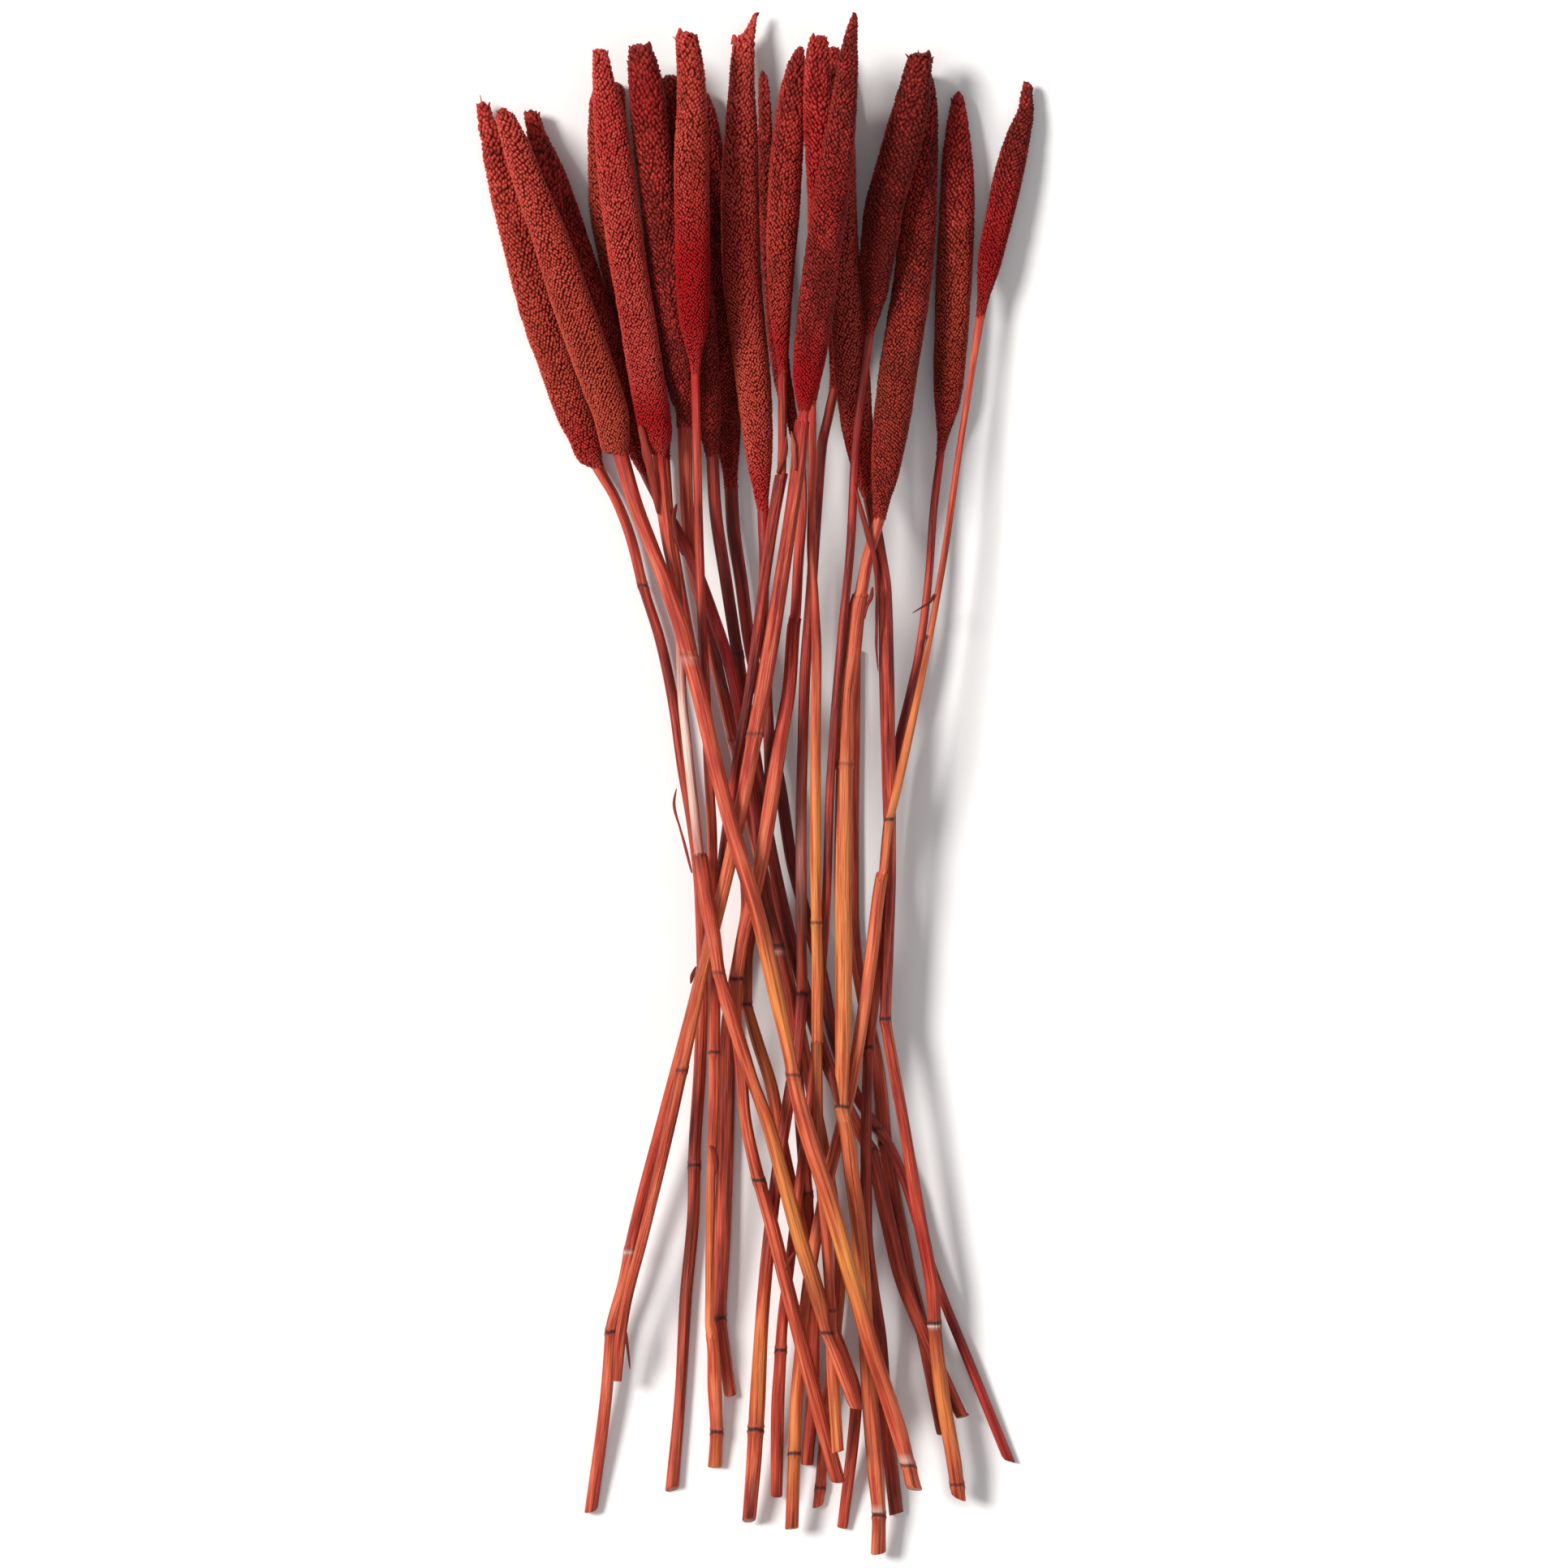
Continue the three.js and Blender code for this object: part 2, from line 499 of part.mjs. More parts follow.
// A closed body through rings of points, each ring in a plane of constant y.
// The caps are fans about a point sunk below the first ring and on the last one.
function lofted(outlines, sink) {
  const sides = outlines[0].length;
  const points = outlines.flat();
  const middle = (ring) =>
    [0, 1, 2].map((i) => ring.reduce((sum, point) => sum + point[i], 0) / ring.length);
  const first = middle(outlines[0]);
  first[1] -= sink;
  const last = middle(outlines[outlines.length - 1]);
  points.push(first, last);
  const index = [];
  for (let k = 0; k < outlines.length - 1; k += 1) {
    for (let s = 0; s < sides; s += 1) {
      const n = (s + 1) % sides;
      const [a, b] = [k * sides + s, k * sides + n];
      const [c, d] = [a + sides, b + sides];
      index.push(a, b, d, a, d, c);
    }
  }
  const base = (outlines.length - 1) * sides;
  for (let s = 0; s < sides; s += 1) {
    const n = (s + 1) % sides;
    index.push(points.length - 2, n, s);
    index.push(points.length - 1, base + s, base + n);
  }
  const geometry = new THREE.BufferGeometry();
  geometry.setAttribute("position", new THREE.Float32BufferAttribute(points.flat(), 3));
  geometry.setIndex(index);
  geometry.computeVertexNormals();
  return geometry;
}

// A ring of points round [x, y, radius, z], with one flat edge straight down.
function circle([x, y, r, z], sides) {
  return Array.from({ length: sides }, (_, s) => {
    const angle = -Math.PI / 2 + ((s + 0.5) * 2 * Math.PI) / sides;
    return [x + r * Math.cos(angle), y, z + r * Math.sin(angle)];
  });
}

function named(name, geometry, colour, roughness) {
  const material = new THREE.MeshStandardMaterial({ color: colour, roughness, metalness: 0 });
  const mesh = new THREE.Mesh(geometry, material);
  mesh.name = name;
  return mesh;
}

function headMesh(stem) {
  const rings = stem.rings.slice(0, stem.heads);
  const outlines = rings.map((ring) => circle(ring, HEAD_SIDES));
  const depth = Math.min(CROWN_DEPTH, rings[0][2]);
  outlines[0].forEach((point, s) => {
    point[1] -= depth * scatter(stem.order * 31 + s);
  });
  const colour = new THREE.Color().setHSL(0.012, 0.5, 0.3 + 0.05 * scatter(stem.order));
  return named(`head_${stem.id}`, lofted(outlines, depth), colour, 0.85);
}

function stalkMesh(stem) {
  const outlines = stem.rings.slice(stem.heads).map((ring) => circle(ring, STALK_SIDES));
  const colour = new THREE.Color().setHSL(0.02 + 0.03 * scatter(stem.order + 40), 0.6, 0.38);
  return named(`stalk_${stem.id}`, lofted(outlines, 0), colour, 0.5);
}

// A thin leaf laid over whatever lies under its full width.
function leafMesh({ name, rings }) {
  const half = LEAF_THICK / 2;
  const needed = rings.map(([x, y, width]) => {
    const heights = stems.map((stem) => {
      if (y > stem.rings[0][1] || y < stem.rings[stem.rings.length - 1][1]) return 0;
      const [sx, , r, z] = between(stem.rings, y);
      const across = Math.max(0, Math.abs(x - sx) - width);
      const reach = r + half + CLEARANCE;
      return across < reach ? z + Math.sqrt(reach * reach - across * across) : 0;
    });
    return Math.max(half + CLEARANCE, ...heights) + CLEARANCE / 2;
  });
  const heights = drawnTight(rings.map((ring) => -ring[1]), needed, LEAF_STEEPEST);
  const outlines = rings.map(([x, y, width], k) => [
    [x - width, y, heights[k]],
    [x, y, heights[k] - half],
    [x + width, y, heights[k]],
    [x, y, heights[k] + half],
  ]);
  return named(name, lofted(outlines, 0), new THREE.Color().setHSL(0.02, 0.5, 0.28), 0.75);
}

const part = new THREE.Group();
part.name = "millet_bunch";
for (const stem of stems) {
  if (stem.heads) part.add(headMesh(stem));
  part.add(stalkMesh(stem));
}
for (const leaf of LEAVES) part.add(leafMesh(leaf));

// The origin goes under the middle of the bunch, on the plane it lies on.
const box = new THREE.Box3().setFromObject(part);
const middle = box.getCenter(new THREE.Vector3());
for (const mesh of part.children) mesh.geometry.translate(-middle.x, -middle.y, -box.min.z);

export default part;
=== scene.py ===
"""A lying bunch of dried millet: grains on its seed heads, ribbed canes and torn leaves.

Lengths are in metres. Y runs from the cut ends to the tips of the heads, and Z is up.
"""

import math

import bpy
import numpy as np
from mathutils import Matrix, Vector


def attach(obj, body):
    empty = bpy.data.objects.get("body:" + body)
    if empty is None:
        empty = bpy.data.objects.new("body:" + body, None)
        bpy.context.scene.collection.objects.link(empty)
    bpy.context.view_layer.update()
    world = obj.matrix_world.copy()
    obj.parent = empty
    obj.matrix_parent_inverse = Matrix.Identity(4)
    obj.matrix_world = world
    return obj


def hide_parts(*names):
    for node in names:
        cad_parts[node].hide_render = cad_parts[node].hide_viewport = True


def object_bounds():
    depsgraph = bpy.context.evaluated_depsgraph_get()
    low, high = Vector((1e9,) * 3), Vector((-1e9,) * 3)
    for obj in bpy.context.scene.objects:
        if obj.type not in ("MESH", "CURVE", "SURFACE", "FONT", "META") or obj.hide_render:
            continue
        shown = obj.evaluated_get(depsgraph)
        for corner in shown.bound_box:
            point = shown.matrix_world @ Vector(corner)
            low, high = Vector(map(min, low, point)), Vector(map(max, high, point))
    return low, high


bl_info = {
    "name": "Dried Millet Bunch",
    "version": (1, 0, 0),
    "blender": (4, 5, 0),
    "location": "3D View > Sidebar > Millet",
    "description": "Dresses a lying bunch of dyed millet with grains, ribs and torn leaves",
    "category": "Add Mesh",
}

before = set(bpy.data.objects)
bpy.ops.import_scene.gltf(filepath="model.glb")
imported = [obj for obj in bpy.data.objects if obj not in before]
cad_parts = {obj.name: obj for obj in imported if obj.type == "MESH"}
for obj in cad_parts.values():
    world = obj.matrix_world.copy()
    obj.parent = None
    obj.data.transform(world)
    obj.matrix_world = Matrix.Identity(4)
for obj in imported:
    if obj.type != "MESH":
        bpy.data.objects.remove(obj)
SOLID_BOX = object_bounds()
NODES = sorted(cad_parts)
HEADS = [name[5:] for name in NODES if name.startswith("head_")]
STALKS = [name[6:] for name in NODES if name.startswith("stalk_")]
LEAVES = [name for name in NODES if not name.startswith(("head_", "stalk_"))]

MM = 0.001
GOLDEN = math.pi * (3 - math.sqrt(5))
CLEARANCE = 0.00002  # between the pieces and the box of the solids
RING_GAP = 0.15 * MM  # rings closer than this along Y count as one

# Points round a ring of the solids of heads, stalks and leaves.
HEAD_SIDES = 9
STALK_SIDES = 6
LEAF_SIDES = 4

# Points round a ring of a cane, a head's core and a torn point, and across one skin of a leaf.
CANE_SIDES = 18
CORE_SIDES = 22
TOOTH_SIDES = 7
LEAF_ACROSS = 9
LEAF_RINGS = 40

# A grain: points of its rim and in all, then shares of the distance between grains.
GRAIN_RIM = 5
GRAIN_POINTS = GRAIN_RIM + 2
GRAIN_SCATTER = 0.15  # random shift
GRAIN_WIDTH = 0.55  # half of it
GRAIN_LENGTH = 0.64  # half of it
GRAIN_HEIGHT = 0.66
SKIRT = 4.5 * MM  # how far up a head its grains hang down
SHREDS = 26  # broken bristles at the top of a head

# Canes: how far they go up into their heads, and the marks at their joints and sheath edges.
SOCKET = 5 * MM
GROOVE = 0.7 * MM  # half width
RIM = 1.5 * MM  # distance from the joint
DARK_RING = 0.85 * MM  # half width
SHEATH_REACH = 4 * MM  # how far from its edge a sheath's step is moved
SPLIT_TURN = 0.24  # half width of a split, in radians round the cane

# Camera, in metres but for the sensor in millimetres.
SENSOR = 36.0
PICTURE_CENTRE = (0.01333, -0.0002)
MIDDLE_HEIGHT = 0.03  # height at which the view width is measured
FLOOR_REACH = 30.0

# Each head: size of its grains, its tone from dark to bright, and how far its scales lean.
HEAD_LOOKS = {
    "01": (1.16, 0.50, 0.35),
    "02": (1.00, 0.58, 0.25),
    "03": (1.10, 0.30, 0.80),
    "04": (0.96, 0.72, 0.55),
    "05": (1.00, 0.34, 0.50),
    "06": (1.20, 0.12, 0.85),
    "07": (1.08, 0.14, 0.60),
    "08": (1.00, 0.48, 0.60),
    "09": (1.00, 0.24, 0.50),
    "10": (1.02, 0.72, 0.65),
    "11": (1.06, 0.12, 0.60),
    "12": (1.06, 0.32, 0.70),
    "13": (1.06, 0.38, 0.75),
    "14": (1.02, 0.40, 0.60),
    "15": (1.02, 0.14, 0.55),
    "16": (1.00, 0.78, 0.40),
    "17": (1.18, 0.06, 0.35),
    "18": (1.02, 0.18, 0.35),
    "19": (1.04, 0.30, 0.50),
    "20": (1.02, 0.08, 0.60),
}

# The top of each head: how rounded it is, then its torn points as millimetres below the top,
# millimetres across from the middle, height, half width and sideways bend.
CROWNS = {
    "01": (0.3, [(3, -2.3, 3.4, 1.1, -1.2), (3, -0.6, 4.4, 0.9, -0.4), (3, 1.9, 4.0, 1.1, 0.8),
                 (2, -0.8, 6.4, 0.4, -0.9)]),
    "02": (0.9, [(2, -1.6, 1.9, 1.4, -0.4)]),
    "03": (0.35, [(3, -2.6, 4.0, 1.4, -0.9), (3, -1.4, 3.9, 0.9, 0.2), (3, 1.2, 4.0, 1.3, 0.3),
                  (3, 2.4, 3.6, 1.2, 0.8)]),
    "04": (0.1, [(3, -2.8, 3.5, 1.0, -0.4), (3, -1.0, 3.2, 0.9, 0.1), (3, 0.8, 3.4, 0.9, 0.2),
                 (3, 2.8, 3.5, 0.9, 0.6)]),
    "05": (0.5, [(3, -4.0, 2.4, 1.5, -0.5), (3, 3.0, 3.4, 1.6, 0.4)]),
    "06": (0.25, [(4, -4.4, 4.6, 1.3, -1.4), (3, -2.4, 3.4, 1.1, -0.2), (2, -0.4, 3.8, 0.35, 0.3),
                  (3, 2.2, 4.6, 1.6, 0.3), (3, 3.5, 5.5, 1.9, 0.2), (9, -6.0, 2.6, 1.2, -1.6)]),
    "07": (0.4, [(3, -2.0, 4.0, 1.2, -0.3), (3, 2.4, 3.2, 1.2, 0.6)]),
    "08": (0.2, [(5, -4.4, 4.0, 0.8, -2.6), (3, -3.2, 5.9, 2.0, -0.2), (3, -0.8, 4.6, 1.8, 0.3),
                 (3, 1.6, 3.2, 1.7, 0.6), (4, 3.8, 2.8, 1.3, 0.8)]),
    "09": (0.4, [(3, -1.8, 3.6, 1.2, -0.5), (3, 2.2, 3.4, 1.2, 0.5)]),
    "10": (0.3, [(15, -4.2, 4.6, 2.1, -0.5), (14, -2.4, 3.4, 1.5, -0.2)]),
    "11": (1.0, []),
    "12": (0.9, [(2, 1.2, 2.4, 0.8, 0.6)]),
    "13": (0.25, [(3, -2.6, 5.3, 1.6, 0.3), (3, -0.6, 3.6, 1.3, 0.2), (3, 2.4, 4.4, 0.9, 0.3),
                  (3, 3.4, 3.7, 0.6, 0.8)]),
    "14": (0.4, [(3, -1.0, 3.6, 1.1, -0.5), (3, 1.6, 4.0, 1.1, 0.6)]),
    "15": (1.0, []),
    "16": (0.6, [(3, 1.6, 3.4, 1.1, 0.4)]),
    "17": (0.2, [(3, -4.4, 3.6, 0.9, -2.0), (3, -3.4, 3.0, 0.8, -0.6), (3, -0.6, 5.2, 0.6, 0.3),
                 (3, 2.6, 4.2, 1.7, 0.4), (3, 4.0, 5.2, 1.9, 0.4), (4, 5.4, 3.2, 1.2, 1.4)]),
    "18": (0.4, [(3, -2.0, 3.6, 1.2, -0.4), (3, 2.0, 3.8, 1.2, 0.6)]),
    "19": (1.0, [(4, -2.6, 2.0, 0.9, -0.8)]),
    "20": (0.5, [(3, -0.9, 4.4, 1.3, -0.3), (3.5, 1.8, 1.9, 1.0, 1.2)]),
}

# Where the dye is brightest on a head: middle and half length along Y in millimetres, strength.
RED_ZONES = {
    "01": [(156, 9, 0.5)],
    "02": [(190, 30, 0.15)],
    "04": [(166, 16, 1.0), (305, 25, 0.35)],
    "05": [(150, 16, 0.5)],
    "06": [(315, 16, 0.4)],
    "08": [(228, 34, 1.2)],
    "10": [(235, 45, 0.25), (134, 14, 0.7)],
    "12": [(200, 13, 0.8)],
    "13": [(290, 34, 0.5)],
    "15": [(184, 17, 1.1), (270, 20, 0.2)],
    "16": [(148, 13, 0.6)],
    "19": [(300, 20, 0.2)],
    "20": [(246, 30, 0.7)],
}

# Where a head has faded to orange brown, in the same form.
FADED_ZONES = {
    "01": [(215, 70, 0.3)],
    "02": [(185, 55, 0.5), (285, 40, 0.15)],
    "05": [(270, 60, 0.3)],
    "08": [(300, 42, 0.2)],
    "10": [(190, 40, 0.3)],
    "12": [(240, 40, 0.15)],
    "18": [(180, 50, 0.2)],
    "19": [(215, 45, 0.3)],
}

# Each stalk: tone from dark to bright, share of orange, depth of its ribs.
STALK_LOOKS = {
    "01": (0.40, 0.30, 0.5),
    "02": (0.66, 0.42, 0.3),
    "03": (0.26, 0.15, 0.6),
    "04": (0.48, 0.35, 0.5),
    "05": (0.50, 0.24, 0.7),
    "06": (0.54, 0.36, 0.6),
    "07": (0.26, 0.14, 0.6),
    "08": (0.50, 0.32, 0.5),
    "09": (0.10, 0.08, 0.5),
    "10": (0.30, 0.20, 0.5),
    "11": (0.52, 0.36, 0.7),
    "12": (0.44, 0.26, 0.9),
    "13": (0.60, 0.48, 0.4),
    "14": (0.40, 0.18, 0.6),
    "15": (0.56, 0.30, 1.0),
    "16": (0.44, 0.24, 0.9),
    "17": (0.34, 0.20, 0.4),
    "18": (0.66, 0.55, 0.8),
    "19": (0.28, 0.14, 0.6),
    "20": (0.58, 0.50, 0.3),
    "21": (0.34, 0.20, 0.5),
}

# Joints of each stalk: Y in millimetres, and how dark the ring is.
JOINTS = {
    "01": [(92, 0.6), (-177, 0.7)],
    "02": [(59, 0.2), (-134, 0.5), (-315, 0.6)],
    "03": [(-75, 1.0), (-190, 0.5)],
    "04": [(-87, 0.4), (-253, 0.7)],
    "05": [(-248, 1.0)],
    "06": [(20, 0.4), (-327, 0.6)],
    "07": [(60, 0.5), (-169, 0.6)],
    "08": [(-124, 0.6), (-301, 0.8)],
    "09": [(35, 0.5), (-160, 0.6)],
    "10": [(-102, 0.9)],
    "11": [(-90, 0.8), (-183, 0.7)],
    "12": [(-216, 0.3), (-254, 0.9)],
    "13": [(-64, 0.5), (-243, 0.5)],
    "14": [(-97, 0.9), (-299, 1.0)],
    "15": [(23, 0.4), (-132, 0.5)],
    "16": [(-109, 0.7), (-250, 0.9), (-325, 0.5)],
    "17": [(-120, 0.5), (-262, 0.7)],
    "18": [(9, 0.3), (-149, 0.7), (-339, 1.0)],
    "19": [(-122, 0.8)],
    "20": [(-16.5, 0.7), (-310, 0.8)],
    "21": [(-167, 0.6)],
}

# Torn edges of sheaths: Y in millimetres. The cane is bare above an edge and wrapped below it.
SHEATH_EDGES = {
    "04": [-32.5],
    "08": [-256],
    "11": [75.5],
    "12": [141.5],
    "13": [-118.5],
    "14": [-96],
    "15": [165.5],
    "18": [85.5, -155],
    "20": [-42],
}

# Yellow or orange stretches of a stalk: middle and half length along Y in millimetres, strength.
WARM_ZONES = {
    "02": [(-100, 30, 0.7), (-220, 24, 0.8)],
    "04": [(-195, 40, 0.6)],
    "06": [(-190, 30, 0.4)],
    "08": [(-220, 40, 0.3), (-320, 12, 0.4)],
    "10": [(-120, 30, 0.3)],
    "12": [(-110, 30, 0.2)],
    "13": [(-50, 70, 0.7), (-290, 20, 0.5)],
    "14": [(-270, 25, 0.6)],
    "15": [(-80, 40, 0.3)],
    "16": [(-285, 30, 0.5)],
    "18": [(-65, 85, 0.5), (-230, 40, 0.3)],
    "20": [(20, 60, 0.5), (-300, 30, 0.4)],
}

# Bright red stretches of a stalk, most of them just under its head, in the same form.
RED_NECKS = {
    "02": [(150, 9, 0.3)],
    "03": [(60, 60, 0.5)],
    "04": [(148, 12, 0.8)],
    "05": [(40, 40, 0.4)],
    "08": [(188, 22, 0.9)],
    "09": [(-290, 40, 0.4)],
    "10": [(122, 12, 0.6)],
    "11": [(60, 40, 0.4)],
    "12": [(186, 8, 0.5), (-150, 60, 0.4)],
    "13": [(170, 12, 0.5)],
    "15": [(170, 10, 0.8)],
    "16": [(-215, 40, 0.5)],
    "17": [(150, 40, 0.3)],
    "19": [(150, 14, 0.5)],
    "20": [(212, 12, 0.6)],
}

# Pale stretches of a stalk, in the same form: the short ones at the joints are painted glints, the long
# one on stalk 04 is partly undyed cane and partly a painted highlight, and the one on stalk 14 is a
# pale film.
PALE_ZONES = {
    "02": [(-312.5, 2.0, 0.5), (57, 2, 0.2)],
    "03": [(-78, 1.0, 0.5)],
    "04": [(14, 42, 1.0)],
    "12": [(-217, 1.0, 0.7)],
    "14": [(-30, 35, 0.25)],
    "16": [(-251, 1.1, 0.9)],
    "18": [(-337, 1.2, 0.5)],
}

# Split cut ends: middle and half length along Y in millimetres, and the turn of the split.
SPLITS = {
    "02": [(-322, 6, 1.3)],
    "05": [(-330, 9, 1.7)],
    "14": [(-342, 22, 1.75), (-342, 22, 1.2)],
    "18": [(-350, 9, 1.5)],
    "20": [(-348, 12, 1.35)],
}

# Each leaf: how strongly it curls across, how far its edges are torn, and its tone.
PLAIN_LEAF = (0.6, 0.3, 0.25)
LEAF_LOOKS = {
    "blade_neck_04": (0.7, 0.3, 0.40),
    "sheath_curl_03": (1.2, 0.5, 0.22),
    "blade_left_01": (0.8, 0.4, 0.45),
    "blade_waist_06": (0.6, 0.3, 0.18),
    "sheath_torn_12": (1.0, 0.6, 0.40),
    "blade_torn_15": (1.0, 0.6, 0.60),
    "blade_cross_16": (0.8, 0.3, 0.35),
    "sheath_curl_18": (1.2, 0.5, 0.22),
    "sheath_curl_19": (1.2, 0.5, 0.18),
}


def stations(node, sides):
    """Rows (y, x, z, radius) of the rings of a solid, from the lowest Y up.

    Points less than 0.15 mm apart along Y form one ring. Its centre is their mean, and its radius
    is their largest distance from it. The points of a notched crown form one ring at their top.
    """
    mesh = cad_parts[node].data
    flat = np.empty(3 * len(mesh.vertices))
    mesh.vertices.foreach_get("co", flat)
    points = np.unique(flat.reshape(-1, 3).round(6), axis=0)
    points = points[np.argsort(points[:, 1])]
    group = np.append(0, np.cumsum(np.diff(points[:, 1]) > RING_GAP))
    size = np.bincount(group)
    group[size[group] < sides] = len(size)
    group = np.unique(group, return_inverse=True)[1]
    size = np.bincount(group)
    x = np.bincount(group, points[:, 0]) / size
    z = np.bincount(group, points[:, 2]) / size
    reach = np.hypot(points[:, 0] - x[group], points[:, 2] - z[group])
    radius = np.zeros(len(size))
    y = np.full(len(size), -np.inf)
    np.maximum.at(radius, group, reach)
    np.maximum.at(y, group, points[:, 1])
    return np.column_stack([y, x, z, radius])


def eased(at, rows):
    """Values of the rows at the given Y, on cubics through every row that never overshoot.

    The slope at a row is the harmonic mean of the slopes beside it, or zero where they differ
    in sign. Each cubic is the Hermite sum of its end values and end slopes.
    """
    y, values = rows[:, 0], rows[:, 1:]
    step = np.diff(y)[:, None]
    rise = np.diff(values, axis=0) / step
    alike = rise[:-1] * rise[1:] > 0
    total = np.where(alike, rise[:-1] + rise[1:], 1)
    inner = np.where(alike, 2 * rise[:-1] * rise[1:] / total, 0)
    slope = np.vstack([rise[:1], inner, rise[-1:]])
    k = np.clip(np.searchsorted(y, at) - 1, 0, len(y) - 2)
    t = ((at - y[k]) / step[k, 0])[:, None]
    t = np.clip(t, 0, 1)
    t2, t3 = t * t, t * t * t
    return (
        (2 * t3 - 3 * t2 + 1) * values[k]
        + (t3 - 2 * t2 + t) * step[k] * slope[k]
        + (3 * t2 - 2 * t3) * values[k + 1]
        + (t3 - t2) * step[k] * slope[k + 1]
    )


def swell(y, zones):
    """Sum of bells: a zone's strength times exp of minus the squared distance in half lengths."""
    total = np.zeros_like(y)
    for middle, half, strength in zones:
        total = total + strength * np.exp(-(((y - middle * MM) / (half * MM)) ** 2))
    return total


def ripple(u, v, seed, waves=5):
    """Smooth noise near -1 to 1: seeded sines of u and v, summed, over the root of their number."""
    rng = np.random.default_rng(seed)
    total = np.zeros(np.broadcast(u, v).shape)
    for _ in range(waves):
        around = rng.integers(-4, 5)
        along, phase = rng.uniform(-1, 1), rng.uniform(0, 2 * math.pi)
        total += np.sin(around * u + 2 * math.pi * along * v + phase)
    return total / math.sqrt(waves)


def grid_faces(rings, sides):
    """Two triangles for each cell of a grid that closes on itself round its sides."""
    ring, side = np.meshgrid(np.arange(rings - 1), np.arange(sides), indexing="ij")
    a = ring * sides + side
    b = ring * sides + (side + 1) % sides
    c, d = a + sides, b + sides
    return np.stack([a, c, b, b, c, d], axis=-1).reshape(-1, 3)


def end_fans(rings, sides, first, last):
    """Fans from a middle point to the first ring and from another to the last one."""
    side = np.arange(sides)
    following = (side + 1) % sides
    base = (rings - 1) * sides
    low = np.stack([np.full(sides, first), side, following], axis=-1)
    high = np.stack([np.full(sides, last), base + following, base + side], axis=-1)
    return np.vstack([low, high])


def solid_of_rings(x, y, z):
    """Points and faces of a closed body from arrays of rings by sides, with a fan at each end."""
    rings, sides = x.shape
    points = np.stack([x, y, z], axis=-1)
    ends = points[[0, -1]].mean(axis=1)
    first = rings * sides
    faces = np.vstack([grid_faces(rings, sides), end_fans(rings, sides, first, first + 1)])
    return np.vstack([points.reshape(-1, 3), ends]), faces


def per_ring(values, sides):
    """Values of rings repeated round them, with those of the two end points after."""
    return np.append(np.repeat(values, sides), values[[0, -1]])


def per_point(values):
    """Values of rings by sides in one row, with zeros for the two end points after."""
    return np.append(values.ravel(), [0, 0])


def within_solids(points):
    """The points held inside the box of the solids, just above the surface they lie on."""
    low, high = (np.array(corner) for corner in SOLID_BOX)
    return np.clip(points, low + CLEARANCE, high - CLEARANCE)


def made(name, points, faces, fields, material, slot, nodes):
    """Puts whole arrays into one smooth mesh, with a value at every point for each field."""
    mesh = bpy.data.meshes.new(name)
    mesh.vertices.add(len(points))
    inside = within_solids(points)
    mesh.vertices.foreach_set("co", np.ascontiguousarray(inside, np.float32).ravel())
    mesh.loops.add(faces.size)
    mesh.loops.foreach_set("vertex_index", np.ascontiguousarray(faces, np.int32).ravel())
    mesh.polygons.add(len(faces))
    mesh.polygons.foreach_set("loop_start", np.arange(0, faces.size, 3, dtype=np.int32))
    mesh.polygons.foreach_set("use_smooth", np.ones(len(faces), bool))
    mesh.update(calc_edges=True)
    for key, values in fields.items():
        mesh.attributes.new(key, "FLOAT", "POINT").data.foreach_set(
            "value", np.ascontiguousarray(values, np.float32)
        )
    if mesh.validate(verbose=False):
        raise RuntimeError(name + " has broken faces")
    mesh.materials.append(material)
    piece = bpy.data.objects.new(name, mesh)
    bpy.context.collection.objects.link(piece)
    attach(piece, "root")
    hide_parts(*nodes)


